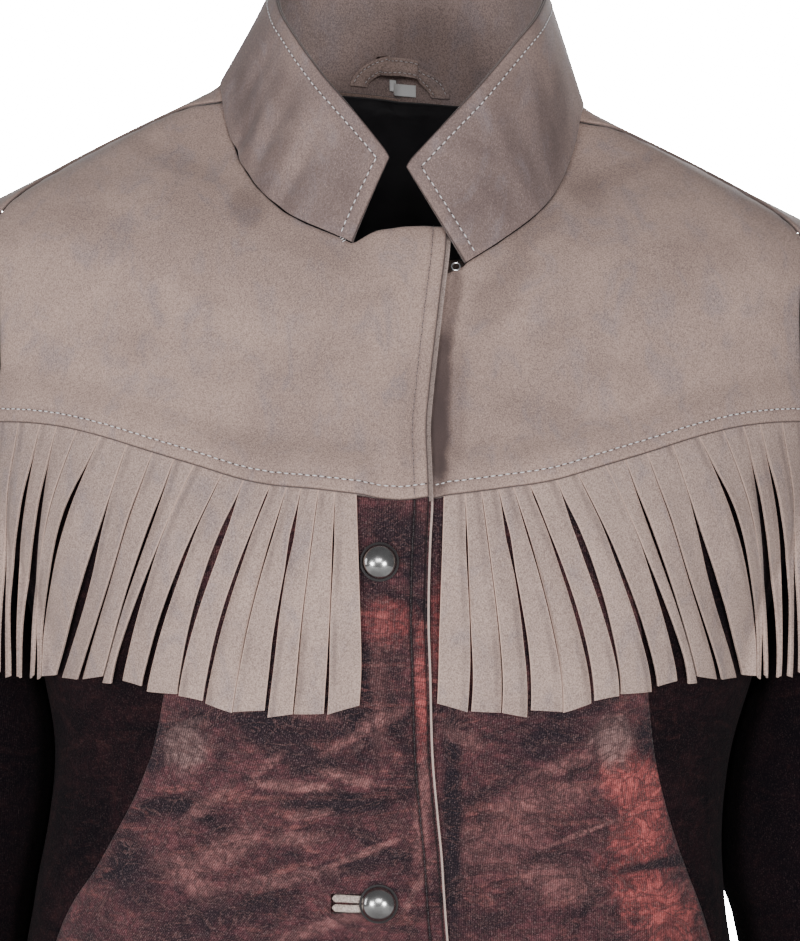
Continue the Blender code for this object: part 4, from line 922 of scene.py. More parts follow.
def lower_hem(start, end):
    line = settled(start + (end - start) * np.linspace(0, 1, 80)[:, None])
    line[:, 2] = -LENGTH
    return line


def joined_at(line, start=None, end=None):
    """The line with its ends moved to meet its neighbours exactly."""
    line = line.copy()
    if start is not None:
        line[0] = start
    if end is not None:
        line[-1] = end
    return line


def half_grids(side, lines):
    """The grids of one half's yoke, front and side panel, at +X."""
    if side > 0:
        inner = np.array([(UNDER_EDGE, -LENGTH), (UNDER_EDGE, UNDER_TOP[-1, 1])])
        free_top, first = UNDER_TOP[::-1], UNDER_EDGE
    else:
        inner = rounded(upright(LAP_EDGE)) * np.array([-1, 1])
        free_top, first = LAP_TOP * np.array([-1, 1]), -LAP_EDGE_AT_HEM
    neck, shoulder = lines["neck_front"], lines["shoulder"]
    hem_near, hem_far = hem_row(first, SIDE_SEAM_X), hem_row(SIDE_SEAM_X, ARMHOLE_X)
    split = joined_at(across_form(hem_far[0], neck[-1]), hem_far[0], neck[-1])
    hole = part_of(lines["hole_front"], lines["front_share"], 0)
    hem_far = joined_at(hem_far, split[0], hole[0])
    hem_near = joined_at(hem_near, None, split[0])
    free = joined_at(seen(rounded(free_top)), None, neck[0])
    centre = joined_at(front_line(inner, hem_near[0, 2], free[0, 2]), hem_near[0], free[0])
    neck = joined_at(neck, None, split[-1])
    shoulder = joined_at(shoulder, split[-1], hole[-1])
    up = spaced(120 * MM, 2.2 * MM)
    yoke = beside(
        patch(hem_near, split, path(free, neck), centre, np.append(spaced(118 * MM, 2.0 * MM)[:-4], 1), up),
        patch(hem_far, hole, shoulder, split, np.append(0, spaced(88 * MM, 2.2 * MM)[4:]), up))

    drawn = upright(SIDE_SEAM[side]) * np.array([side, 1])
    seam = on_curve(np.concatenate([seen(drawn[:0:-1]), hem_near[-1:]]))
    front_edge = front_line(inner, -LENGTH, hem_near[0, 2])
    front_edge = joined_at(front_edge, None, hem_near[0])
    seam = joined_at(seam, None, hem_near[-1])
    hem_front = joined_at(lower_hem(front_edge[0], seam[0]), front_edge[0], seam[0])
    up = spaced(425 * MM, 2.6 * MM)
    front = patch(hem_front, seam, hem_near, front_edge, spaced(125 * MM, 2.3 * MM), up)

    pit = part_of(lines["hole_front"], 1, lines["front_share"])
    side_edge = joined_at(path(side_line(), pit), None, hem_far[-1])
    hem_side = joined_at(lower_hem(seam[0], side_edge[0]), seam[0], side_edge[0])
    panel = patch(hem_side, side_edge, hem_far, seam, spaced(80 * MM, 2.6 * MM), spaced(440 * MM, 3.0 * MM))
    return on_form(yoke), on_form(front), on_form(panel)


# Darker patches on the front yokes, and a painted shadow beside the lapped edge: middle (across, up), reach,
# slant and strength.
YOKE_MARKS = {
    -1: [
        ((-70, -46), (9, 8), -38, 0.34), ((-40, -66), (20, 6), -20, 0.16),
        ((-104, -24), (26, 5), -24, 0.18), ((-136, -56), (22, 10), -20, 0.13),
        ((-18, -90), (16, 4), 20, 0.13), ((-60, -120), (30, 9), 12, 0.12),
        ((-120, -110), (14, 8), 30, 0.13), ((4, -150), (5, 30), 0, 0.14),
        ((-90, -84), (12, 6), -30, 0.12),
    ],
    1: [
        # The first four paint the shadow cast by the lapped right front beside its edge.
        ((23.5, -92), (4, 20), -8, 0.6), ((19, -124), (4.5, 24), -5, 0.9),
        ((17.5, -152), (5, 26), 0, 0.95), ((25, -140), (5, 34), -4, 0.3),
        ((45, -86), (9, 20), -32, 0.26), ((62, -56), (14, 6), 34, 0.22),
        ((84, -34), (8, 14), 40, 0.22), ((70, -104), (16, 7), 24, 0.14),
        ((104, -28), (24, 5), 24, 0.18), ((136, -70), (22, 9), 18, 0.13),
        ((58, -140), (22, 8), -14, 0.12), ((100, -124), (14, 8), -30, 0.12),
    ],
}


def build_half(side, lines, threads):
    hand = "left" if side > 0 else "right"
    turned = (lambda g: g) if side > 0 else flipped
    yoke, front, panel = half_grids(side, lines)
    rise = (lambda p: hem_lift(p, 1)) if side > 0 else (lambda p: lap_lift(p) + hem_lift(p, -1))

    stitched = [("bottom", INSET)]
    if side < 0:
        stitched += [("right", 6.6 * MM), ("right", 0.0)]
    finish = suede(f"{hand}_yoke_suede", grooves=stitched, shade_and_dark_patches=YOKE_MARKS[side])
    made, skin = cloth(f"{hand}_front_yoke", turned(yoke), 0, CLOTH, (finish, SHADED_TURNED_EDGE), rise, 0.35,
                       tucked=0.5 * MM)
    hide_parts(f"yoke_{hand}")
    threads["light"].run(skin.line("bottom", INSET, 1 * MM, 1 * MM))
    if side < 0:
        threads["dark"].run(skin.line("right", 6.6 * MM, 1 * MM, 0), width=0.24 * MM, rise=0.02 * MM)
    declare(skin)

    lap = lap_lift if side < 0 else None
    finish = dyed(f"{hand}_front_dye", MARKS[side], grooves=stitched[1:] if side < 0 else ())
    made, skin = cloth(f"{hand}_front", turned(front), 0, CLOTH, (finish, DARK_EDGE), lap, 0.35)
    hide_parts(f"front_{hand}")
    if side < 0:
        open_buttonholes(made)
        threads["placket"].run(skin.line("right", 6.6 * MM, 0, 1 * MM), width=0.26 * MM, rise=0.04 * MM)
    threads["placket"].run(skin.line("bottom", 12 * MM, 2 * MM, 2 * MM), width=0.26 * MM, rise=0.06 * MM)
    declare(skin)

    finish = dyed(f"{hand}_side_dye", depth=0.86)
    made, skin = cloth(f"{hand}_side_panel", turned(panel), 0, CLOTH, (finish, DARK_EDGE), None, 0.5)
    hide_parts(f"side_{hand}")
    threads["placket"].run(skin.line("bottom", 12 * MM, 2 * MM, 2 * MM), width=0.26 * MM, rise=0.06 * MM)
    declare(skin)


def build_back(lines, threads):
    yoke, body = [], []
    for side in (1, -1):
        seams = lines[side]
        neck = part_of(seams["neck_back"], 1, 0)
        hem_near, hem_far = back_row(0, BACK_SPLIT_X), back_row(BACK_SPLIT_X, BACK_YOKE_HEM[0, 0])
        hole = part_of(seams["hole_back"], seams["back_share"], 0)
        split = joined_at(across_form(hem_far[0], neck[-1]), hem_far[0], neck[-1])
        centre = joined_at(across_form(hem_near[0], neck[0]), hem_near[0], neck[0])
        hem_far = joined_at(hem_far, None, hole[0])
        shoulder = joined_at(seams["shoulder"], neck[-1], hole[-1])
        up = spaced(200 * MM, 2.8 * MM)
        near = patch(hem_near, split, neck, centre, np.linspace(0, 1, 40), up)
        far = patch(hem_far, hole, shoulder, split, np.append(0, spaced(80 * MM, 2.6 * MM)[4:]), up)
        yoke.append(on_form(beside(near, far)))

        side_edge = path(side_line(), part_of(seams["hole_back"], 1, seams["back_share"]))
        top = path(hem_near, hem_far)
        side_edge = joined_at(side_edge, None, top[-1])
        heights = np.linspace(-LENGTH, top[0, 2], 100)
        centre = joined_at(seen(np.stack([0 * heights, heights], axis=1), 1), None, top[0])
        hem = joined_at(lower_hem(centre[0], side_edge[0]), centre[0], side_edge[0])
        across = np.append(0, spaced(185 * MM, 3.2 * MM)[4:])
        body.append(on_form(patch(hem, side_edge, top, centre, across, spaced(425 * MM, 3.2 * MM))))
    finish = suede("back_yoke_suede", grooves=[("bottom", INSET)])
    made, skin = cloth("back_yoke_panel", beside(yoke[0][:, ::-1], flipped(yoke[1])[:, ::-1]), 0, CLOTH,
                       (finish, SHADED_TURNED_EDGE), None, 0.3, tucked=-0.7 * MM)
    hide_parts("back_yoke")
    threads["light"].run(skin.line("bottom", INSET, 2 * MM, 2 * MM))
    declare(skin)
    finish = dyed("back_dye", BACK_MARKS, depth=0.28)
    made, skin = cloth("back_panel", beside(body[0][:, ::-1], flipped(body[1])[:, ::-1]), 0, CLOTH,
                       (finish, DARK_EDGE), None, 0.4)
    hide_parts("back_body")
    threads["placket"].run(skin.line("bottom", 12 * MM, 2 * MM, 2 * MM), width=0.26 * MM, rise=0.06 * MM)
    declare(skin)


# ---------------------------------------------------------------- fringe

# Cuts between the strips: across at the top and at the ends, how far apart the strips part on the way down
# (at a tenth, a quarter, two fifths, more than half, seven tenths, and the end), and the step up to the next.
CUTS = [
    (19.8, 17.6, (0, 0, 0, 0, 0, 0), 0.0), (29.3, 32.0, (0.2, 0.9, 0.5, 0.2, 0.8, 1.6), 0.1),
    (36.0, 46.4, (0.2, 0.4, 0.3, 0.2, 0.3, 0.4), 0.2), (43.2, 59.0, (0.2, 2.0, 0.5, 1.0, 1.9, 1.8), 0.1),
    (49.1, 73.8, (0.3, 1.1, 0.8, 0.8, 0.8, 0.4), 0.2), (56.0, 86.9, (0.9, 0.4, 1.0, 1.0, 0.9, 0.5), 0.2),
    (68.0, 98.3, (0.2, 2.8, 3.4, 3.0, 2.4, 1.6), 0.1), (77.4, 113.0, (0.2, 0.4, 1.7, 2.2, 2.2, 1.7), 0.2),
    (90.0, 125.6, (0.2, 0.3, 0.6, 2.0, 3.2, 4.8), 0.3), (99.5, 133.2, (0.2, 0.3, 0.3, 0.2, 0.2, 0.2), 0.7),
    (109.4, 142.7, (0.2, 0.3, 0.3, 0.2, 0.2, 0.2), 0.9), (121.0, 152.6, (0.2, 0.4, 1.6, 3.2, 3.4, 2.4), 0.3),
    (132.3, 160.7, (0.2, 0.9, 1.3, 0.9, 0.8, 0.6), 0.6), (144.0, 164.8, (0.2, 0.4, 0.6, 0.3, 0.3, 1.0), 1.0),
    (154.0, 168.0, (0.2, 0.4, 0.3, 0.6, 1.2, 2.0), 1.1), (162.0, 173.5, (0.2, 0.3, 0.4, 1.4, 2.6, 3.0), 1.1),
    (172.8, 179.0, (0.2, 0.3, 0.4, 0.9, 1.4, 1.6), 0.9), (182.0, 184.5, (0, 0, 0, 0, 0, 0), 0.0),
]
ENDS = np.array([
    (17, -271.4), (31.5, -274), (45, -275), (58.5, -275.4), (79, -273.6), (92, -268.7),
    (106, -265.5), (121, -262.4), (143, -261), (152, -260), (166, -261), (185, -260),
]) * MM
GAP_AT = np.array([0, 0.1, 0.25, 0.4, 0.55, 0.7, 0.88, 1.0])
THICK = 1.15 * MM


def cut_line(cut, down):
    """Where a cut runs: across, at shares of the way down."""
    top, low = cut[0] * MM, cut[1] * MM
    fans = 1.35 if top < 95 * MM else 1.05 if top < 128 * MM else 2.0
    sway = 0.5 * MM * np.sin(5.2 * down + top / MM) * down
    return top + (low - top) * (1 - (1 - down) ** fans) + sway


def build_fringe(side):
    hand = "left" if side > 0 else "right"
    mesh = bmesh.new()
    down = np.unique(np.concatenate([np.linspace(0, 0.07, 4), np.linspace(0.07, 1, 44), [0.985]]))
    began = 0.06
    for k in range(len(CUTS) - 1):
        sides = []
        for which, cut in enumerate((CUTS[k], CUTS[k + 1])):
            gap = np.interp(down, GAP_AT, (0, *cut[2], cut[2][-1])) * MM / 2
            open_now = smooth((down - began) / 0.05 + 0.2) * (down > began)
            gap = np.where(down > began, np.maximum(gap, 0.16 * MM), 0) * open_now
            if 0 < k + which < len(CUTS) - 1:
                sides.append(cut_line(cut, down) + gap * (1 if which == 0 else -1))
            else:
                sides.append(cut_line(cut, down))
        share = np.array([0, 0.06, 0.3, 0.55, 0.8, 0.94, 1])
        across = sides[0][:, None] + (sides[1] - sides[0])[:, None] * share
        top = hem_height(across[0]) + 1.6 * MM + 4.0 * MM * smooth((across[0] - 26 * MM) / (14 * MM))
        low_at = np.array([CUTS[k][1], CUTS[k + 1][1]]) * MM
        low = np.interp(low_at, ENDS[:, 0], ENDS[:, 1])
        slant = (1.5 * np.sin(k * 1.9) - 1.1) * MM
        low = low[0] + (low[1] - low[0]) * share + slant * (share - 0.5) + 0.8 * MM * np.sin(k * 2.9)
        height = top + (low - top) * down[:, None]
        under = np.minimum(across, 0.93 * spline(height, FORM[:, 0], FORM[:, 1]))
        base = seen(np.stack([under.ravel(), height.ravel()], axis=1))
        out = normals(base)
        pushed = folds(base * np.array([side, 1, 1]))
        base[:, 0] = across.ravel()
        free = smooth((down - 0.05) / 0.3)[:, None]
        step = (CUTS[k][3] + CUTS[k + 1][3]) / 2 * MM
        sway = 0.8 * MM * np.sin(4.1 * down + k * 2.1)[:, None] + 0.6 * MM * np.sin(k * 1.3)
        curl = 0.55 * MM * np.sin(k * 2.7 + 0.6) * (share - 0.5) ** 2 * 4
        tucked = 1.56 * MM + 0.3 * MM * smooth((across - 24 * MM) / (12 * MM))
        twist = 1.1 * MM * np.sin(k * 2.3 + 1.4 * down + 0.6 * np.sin(9 * down + k))[:, None] * (share - 0.5)
        lifts = tucked + free * twist + free * (1.5 * MM + sway + curl) + free * step * 1.7 * (1 - share)
        lift = lap_lift(base * np.array([-1, 1, 1])) if side < 0 else 0
        raise_by = (lifts.ravel() + pushed + lift)[:, None]
        rounding = 0.18 * MM * (np.abs(share - 0.5) > 0.49) * np.ones_like(down)[:, None]
        grids = []
        for extra in (0, THICK):
            less = rounding.ravel()[:, None] * (extra > 0) * free.repeat(len(share), 1).ravel()[:, None]
            level = (base + out * (raise_by + extra - less)) * np.array([side, 1, 1])
            grids.append(stance(level).reshape(*across.shape, 3))
        strip = Skin(grids[1])
        lay_strip(mesh, grids[0], grids[1], strip)
    close_strips(mesh)
    finish = suede(f"{hand}_fringe_suede", (0.53, 0.385, 0.33), (0.42, 0.305, 0.266), cut=True)
    made = finished(f"{hand}_fringe", mesh, (finish, SUEDE_EDGE), raw=True)
    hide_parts(f"fringe_{hand}")


def lay_strip(mesh, lower, upper, skin):
    """One strip as an open sheet, remembering where both of its faces go."""
    rows, columns = upper.shape[:2]
    layers = mesh.verts.layers.float_vector
    high = layers.get("high") or layers.new("high")
    cloth_map = mesh.loops.layers.uv.get("cloth") or mesh.loops.layers.uv.new("cloth")
    far = mesh.loops.layers.uv.get("far_edges") or mesh.loops.layers.uv.new("far_edges")
    made = bmesh.ops.create_grid(mesh, x_segments=columns - 1, y_segments=rows - 1, size=0.5)["verts"]
    spots = [(round((v.co.y + 0.5) * (rows - 1)), round((v.co.x + 0.5) * (columns - 1))) for v in made]
    where = {v: spot for v, spot in zip(made, spots)}
    for face in {f for v in made for f in v.link_faces}:
        for loop in face.loops:
            i, j = where[loop.vert]
            loop[cloth_map].uv = (skin.left[i, j], skin.bottom[i, j])
            loop[far].uv = (skin.right[i, j], skin.top[i, j])
    for vert, (i, j) in where.items():
        vert.co = lower[i, j]
        vert[high] = upper[i, j]


def close_strips(mesh):
    """Join the strips along their uncut band and give the whole fringe its thickness."""
    bmesh.ops.remove_doubles(mesh, verts=mesh.verts, dist=0.01 * MM)
    bmesh.ops.recalc_face_normals(mesh, faces=mesh.faces)
    level = mesh.verts.layers.int.new("level")
    mesh.verts.layers.int.new("place")
    high = mesh.verts.layers.float_vector.get("high")
    risen = bmesh.ops.extrude_face_region(mesh, geom=mesh.faces[:], use_keep_orig=True)["geom"]
    for vert in risen:
        if isinstance(vert, bmesh.types.BMVert):
            vert.co = vert[high]
            vert[level] = 1
    mesh.verts.layers.float_vector.remove(high)


# ---------------------------------------------------------------- sleeves


# Folds round a sleeve: height, how far they slant, depth and width, in millimetres.
SLEEVE_FOLDS = [
    (-330, 30, 2.6, 9), (-352, -24, 2.4, 8), (-376, 34, 3.0, 10), (-398, -20, 2.2, 9), (-300, -30, 1.6, 9),
    (-432, 28, 1.7, 10), (-262, 36, 1.4, 10), (-520, 24, 1.2, 12), (-556, -18, 1.4, 9), (-578, 14, 1.2, 8),
    (-480, -22, 1.2, 12), (-214, 40, 1.2, 12),
]


def build_sleeve(side, lines, threads):
    hand = "left" if side > 0 else "right"
    seams = lines[side]
    shares = np.linspace(0, 2, 97)
    front, back = shares[shares <= 1], shares[shares > 1]
    hole = np.concatenate([at_shares(seams["hole_front"], front), at_shares(seams["hole_back"], 2 - back)])
    slant = np.arctan(SHOULDER_SLOPE)
    leaves = np.array([np.cos(slant), 0, -np.sin(slant)])
    turn = np.pi * shares
    start = hole + normals(hole) * CLOTH + leaves * 0.5 * MM

    def ring(height):
        across, depth, half, half_depth = (spline(height, SLEEVE[:, 0], SLEEVE[:, k]) for k in range(1, 5))
        z = np.full(len(turn), height)
        return np.stack([across + half * np.cos(turn), depth - half_depth * np.sin(turn), z], axis=1)

    biceps = ring(SLEEVE[0, 0])
    reach = 0.8 * np.linalg.norm(biceps - start, axis=1, keepdims=True)
    rows = []
    for t in np.linspace(0, 1, 60):
        rows.append((2 * t**3 - 3 * t**2 + 1) * start + (t**3 - 2 * t**2 + t) * reach * leaves
                    + (3 * t**2 - 2 * t**3) * biceps + (t**3 - t**2) * reach * np.array([0, 0, -1]))
    down = np.concatenate([np.linspace(SLEEVE[0, 0], -593 * MM, 104)[1:],
                           np.array([-597, -600, -603, -604.4, -605]) * MM])
    for height in down:
        rows.append(ring(height))
    outer = np.array(rows)[::-1]
    skin = Skin(outer)
    middle = outer.mean(axis=1, keepdims=True)
    way = skin.normals * np.sign(((outer - middle) * skin.normals).sum())
    z = outer[:, :, 2]
    # The sleeve's inner side falls against the body, and leaves it lower down.
    leaves_at = -352 * MM if side > 0 else -398 * MM
    level = z[:, z.shape[1] // 2]
    body = spline(level, FORM[:, 0], FORM[:, 1]) + 0.9 * MM
    room = np.clip(outer[:, :, 0].min(axis=1) - body, 0, None) * smooth((level - leaves_at) / (26 * MM) + 1)
    room = room * smooth((-203 * MM - level) / (10 * MM))
    towards = smooth((-np.cos(turn) + 0.1) / 0.9)
    outer[:, :, 0] -= room[:, None] * towards
    push = np.zeros(z.shape)
    loose = 1 - 0.85 * towards[None] * smooth((z + 420 * MM) / (40 * MM))
    for height, tilt, depth, wide in SLEEVE_FOLDS:
        off = (z - height * MM - tilt * MM * np.sin(turn + height)) / (wide * MM)
        round_it = 0.35 + 0.65 * np.abs(np.sin(turn * 0.5 + height * 0.02))
        trough = np.exp(-off**2) - 0.35 * np.exp(-(off / 2.2) ** 2)
        push -= 1.45 * depth * MM * trough * round_it
    fading = smooth(skin.bottom / (14 * MM)) * smooth(skin.top / (26 * MM))
    cap = smooth(skin.top / (1.2 * MM)) * 0.5 + 0.5
    outer = outer + way * (push * fading * loose)[..., None]
    turned_in = 0.5 * MM * (1 - smooth(skin.top / (1.8 * MM)))
    inner = outer - way * CLOTH
    outer = outer - way * turned_in[..., None] * cap[..., None]
    flip = np.array([side, 1, 1])
    upper = stance((outer * flip).reshape(-1, 3)).reshape(outer.shape)
    lower = stance((inner * flip).reshape(-1, 3)).reshape(inner.shape)
    upper[:, -1], lower[:, -1] = upper[:, 0], lower[:, 0]
    skin = Skin(upper)
    if side < 0:
        skin.normals = -skin.normals
    facing = np.sign(((upper - upper.mean(axis=1, keepdims=True)) * skin.normals).sum())
    skin.normals = skin.normals * facing
    mesh = bmesh.new()
    lay(mesh, lower, upper, skin, weld=True)
    made = finished(f"{hand}_sleeve", mesh, (SLEEVE_DYE, DARK_EDGE))
    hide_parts(f"sleeve_{hand}")
    threads["placket"].run(skin.line("bottom", 14 * MM), width=0.26 * MM, rise=0.06 * MM)
    declare(skin)


# ---------------------------------------------------------------- facing, lining and collar


def build_facing():
    edge = rounded(upright(LAP_EDGE))
    top = LAP_EDGE[0, 1] - 0.6 * MM
    heights = np.concatenate([np.linspace(-LENGTH, -185 * MM, 110)[:-1], np.linspace(-185 * MM, top, 60)])
    outer = np.interp(heights, edge[::-1, 1], edge[::-1, 0]) + FACING_SHOWS
    at = -24 * MM + (outer + 24 * MM)[:, None] * spaced(40 * MM, 2.5 * MM)
    peak = np.interp(at, LAP_TOP[::-1, 0], LAP_TOP[::-1, 1]) - 0.6 * MM
    follows = smooth((heights + 110 * MM) / (heights[-1] + 110 * MM))[:, None]
    high = heights[:, None] + (peak - heights[-1]) * follows
    grid = seen(np.stack([at.ravel(), high.ravel()], axis=1)).reshape(*at.shape, 3)
    finish = dyed("facing_dye", suede_above=-180.5 * MM, ribs=False, pale_rim=True)
    made, skin = cloth("front_edge_facing", grid, LAP - 1.5 * MM, LAP - 0.35 * MM, (finish, PALE_EDGE),
                       None, 0.12, raw=True)
    open_buttonholes(made)
    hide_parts("facing_right")
    declare(skin)


def build_lining(lines):
    halves = []
    for side in (1, -1):
        neck = part_of(lines[side]["neck_back"], 1, 0)
        xs = np.linspace(0, 92 * MM, 60)
        low = seen(np.stack([xs, -60 * MM + 0 * xs], axis=1), 1)
        centre, outer = across_form(low[0], neck[0]), across_form(low[-1], neck[-1])
        centre, outer = joined_at(centre, low[0], neck[0]), joined_at(outer, low[-1], neck[-1])
        across = np.append(0, spaced(90 * MM, 2.6 * MM)[4:])
        halves.append(on_form(patch(low, outer, neck, centre, across, spaced(70 * MM, 2.4 * MM))))
    grid = beside(halves[0][:, ::-1], flipped(halves[1])[:, ::-1])
    rises = (1.7 * MM * smooth(1 - Skin(grid).top / (9 * MM))).reshape(-1)
    made, skin = cloth("neck_lining", grid, -4.0 * MM, -3.0 * MM, (satin(), satin()), lambda p: rises, 0.2)
    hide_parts("lining_back")
    declare(skin)


class Collar:
    """The collar's middle surface: a band between the neck seam and its top edge."""

    def __init__(self):
        base = np.concatenate([mirrored(settled(NECK[-1])), settled(NECK[1])[::-1][1:]])
        top = np.concatenate([mirrored(COLLAR_TOP[-1]), COLLAR_TOP[1][::-1][1:]])
        along = length_along(base)
        self.middle, self.length = along[len(NECK[1]) - 1], along[-1]
        self.fine = np.linspace(0, along[-1], 600)
        seam = settled(np.stack([spline(self.fine, along, base[:, k]) for k in range(3)], axis=1))
        lift = lap_lift(seam) * (seam[:, 0] < 0)
        self.base = seam + normals(seam) * (1.75 * MM + lift)[:, None]
        self.top = np.stack([spline(self.fine, along, top[:, k]) for k in range(3)], axis=1)

    def grid(self, along, up):
        low = np.stack([np.interp(along, self.fine, self.base[:, k]) for k in range(3)], axis=-1)
        high = np.stack([np.interp(along, self.fine, self.top[:, k]) for k in range(3)], axis=-1)
        surface = low + (high - low) * up[..., None]
        out = (surface + np.array([0, 12 * MM, 0])) * np.array([1, 1, 0])
        out /= np.linalg.norm(out, axis=-1, keepdims=True)
        bow = 0.8 * MM * 4 * up * (1 - up)
        ripple = (0.35 * np.sin(along / (9 * MM)) + 0.45 * np.sin(along / (15.5 * MM) + 1.0)) * MM
        dent = sum(-d * MM * np.exp(-((along - a * MM) / (w * MM)) ** 2 - ((up - b) / 0.32) ** 2)
                   for a, b, w, d in COLLAR_DENTS)
        return surface + out * (bow + (ripple * up * (1.15 - up) * 1.6 + dent))[..., None]

    def out(self, along, up):
        step = 0.5 * MM
        n = np.cross(self.grid(along + step, up) - self.grid(along - step, up),
                     self.grid(along, up + 0.01) - self.grid(along, up - 0.01))
        n /= np.linalg.norm(n, axis=-1, keepdims=True)
        away = (self.grid(along, up) + np.array([0, 12 * MM, 0])) * np.array([1, 1, 0])
        return n * np.sign((away * n).sum(-1, keepdims=True))


# Soft dents in the collar: along it, share of the way up, reach and depth in millimetres.
COLLAR_DENTS = [
    (40, 0.3, 5, 2.2), (66, 0.35, 6, 2.4), (84, 0.2, 5, 2.0), (52, 0.6, 8, -1.1), (24, 0.35, 6, 1.0),
    (98, 0.5, 5, 1.4), (292, 0.3, 6, 2.2), (266, 0.35, 6, 2.2), (250, 0.25, 5, 1.8),
    (312, 0.45, 8, -1.1), (330, 0.3, 6, 1.0), (150, 0.3, 12, 1.2), (205, 0.35, 14, 1.0),
    (278, 0.6, 6, -0.8),
]

# Darker patches on the collar: middle (across, up), reach, slant and strength.
COLLAR_MARKS = [
    ((-60, -28), (5, 22), -28, 0.32), ((-70, -10), (4, 24), -8, 0.38),
    ((-45, -38), (5, 16), -36, 0.26), ((-52, 6), (7, 12), 20, 0.2), ((-26, -42), (7, 10), -30, 0.22),
    ((-74, 4), (4, 20), 0, 0.3), ((56, -24), (5, 22), 26, 0.3), ((68, -10), (4, 24), 10, 0.36),
    ((44, -40), (6, 14), 36, 0.24), ((30, -48), (8, 8), 30, 0.22), ((74, 0), (4, 22), 0, 0.3),
    ((50, 8), (6, 12), -20, 0.2), ((36, -20), (4, 10), 60, 0.2),
]


def build_collar(threads):
    collar = Collar()
    shares = spaced(collar.length, 1.9 * MM)
    ups = spaced(68 * MM, 1.8 * MM)
    up, along = np.meshgrid(ups, collar.length * shares, indexing="ij")
    # The corners of the top edge are a little rounded.
    from_end = np.minimum(along, collar.length - along)
    tip = 0.9 * MM * np.clip(1 - from_end / (5 * MM), 0, 1) ** 2 / (45 * MM)
    up = up * (1 - tip)
    stitched = [("left", 6.5 * MM), ("right", 6.5 * MM), ("top", 6.5 * MM)]
    finish = suede("collar_suede", (0.335, 0.238, 0.21), (0.215, 0.157, 0.147), stitched, shade_and_dark_patches=COLLAR_MARKS)
    inside = suede("collar_inner_suede", (0.38, 0.28, 0.255), (0.27, 0.205, 0.19), stitched)
    for name, node, sign, skin_finish in (("collar_outer_ply", "collar_outer", 1, finish),
                                          ("collar_inner_ply", "collar_inner", -1, inside)):
        # The inner ply runs on down to meet the lining, at the back of the neck.
        behind = smooth((from_end - 95 * MM) / (25 * MM)) * 4.2 * MM / (72 * MM)
        rise = up - (1 - up) * behind if sign < 0 else up
        out, middle = collar.out(along, rise), collar.grid(along, rise)
        near, far = middle + out * sign * 0.175 * MM, middle + out * sign * (0.175 * MM + COLLAR_PLY)
        edge = Skin(middle).edge()
        drop = 0.45 * MM * (1 - smooth(edge / (1.5 * MM)))
        far = far - out * sign * drop[..., None]
        upper = stance(far.reshape(-1, 3)).reshape(far.shape)
        lower = stance(near.reshape(-1, 3)).reshape(near.shape)
        skin = Skin(upper)
        outwards = (upper - stance(middle.reshape(-1, 3)).reshape(middle.shape))
        skin.normals *= np.sign((skin.normals * outwards).sum())
        mesh = bmesh.new()
        lay(mesh, lower, upper, skin)
        made = finished(name, mesh, (skin_finish, SHADED_TURNED_EDGE))
        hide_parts(node)
        threads["light"].run(skin.line("top", 6.5 * MM, 6 * MM, 6 * MM))
        for edge_name in ("left", "right"):
            threads["light"].run(skin.line(edge_name, 6.5 * MM, 1 * MM, 6 * MM))
        declare(skin)

    # The hanger loop arches out from the inside of the collar, both ends in the neck seam.
    inside_at = -0.175 * MM - COLLAR_PLY - 0.7 * MM
    height = np.linalg.norm(COLLAR_TOP[1][-1] - NECK[1][-1])
    turn, across = np.meshgrid(np.linspace(0, np.pi, 61), spaced(8.5 * MM, 1.0 * MM, (0.35, 0.8, 1.3)),
                               indexing="ij")
    reach, rise = 24 * MM - 8.5 * MM * (1 - across), 17 * MM - 8.5 * MM * (1 - across)
    along = collar.middle + reach * np.cos(turn)
    up = (1.0 * MM + rise * np.sin(turn)) / height
    stands = inside_at - 9 * MM * np.sin(turn) ** 2
    made, skin = collar_band(collar, "hanger_strip", along, up, stands, COLLAR_PLY,
                             (suede("hanger_suede", (0.52, 0.38, 0.335), (0.38, 0.28, 0.25),
                                    [("left", 1.7 * MM), ("right", 1.7 * MM)]), SHADED_TURNED_EDGE), 0.3)
    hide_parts("hanger_loop")
    for edge_name in ("left", "right"):
        threads["light"].run(skin.line(edge_name, 1.7 * MM, 1 * MM, 1 * MM), pitch=2.4 * MM, width=0.2 * MM)

    along, up = np.meshgrid(collar.middle + np.linspace(-4.8, 7.4, 24) * MM,
                            np.linspace(0.6, 6.6, 13) * MM / height)
    sag = 0.25 * MM * np.sin((along - collar.middle) / (2.1 * MM))
    hangs = inside_at - 1.1 * MM + 0.5 * sag
    made, skin = collar_band(collar, "blank_neck_label", along, up, hangs, 0.4 * MM,
                             (label_weave(), label_weave()), 0.1)
    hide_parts("size_label")


def collar_band(collar, name, along, up, stands, thick, finishes, turn):
    """A strip that stands inside the collar, its shown face towards the wearer's neck."""
    out, middle = collar.out(along, up), collar.grid(along, up)
    edge = Skin(middle)
    drop = turn * MM * (1 - smooth(np.minimum(edge.left, edge.right) / (0.9 * MM)))
    near, far = middle + out * stands[..., None], middle + out * (stands - thick + drop)[..., None]
    upper, lower = (stance(g.reshape(-1, 3)).reshape(g.shape) for g in (far, near))
    skin = Skin(upper)
    skin.normals *= np.sign((skin.normals * (upper - lower)).sum())
    mesh = bmesh.new()
    lay(mesh, lower, upper, skin)
    return finished(name, mesh, finishes), skin


# ---------------------------------------------------------------- buttons and buttonholes


def button_frame(height):
    foot = seen(np.array([[BUTTON_X - swing(height), height]]))
    return foot[0], normals(foot)[0]


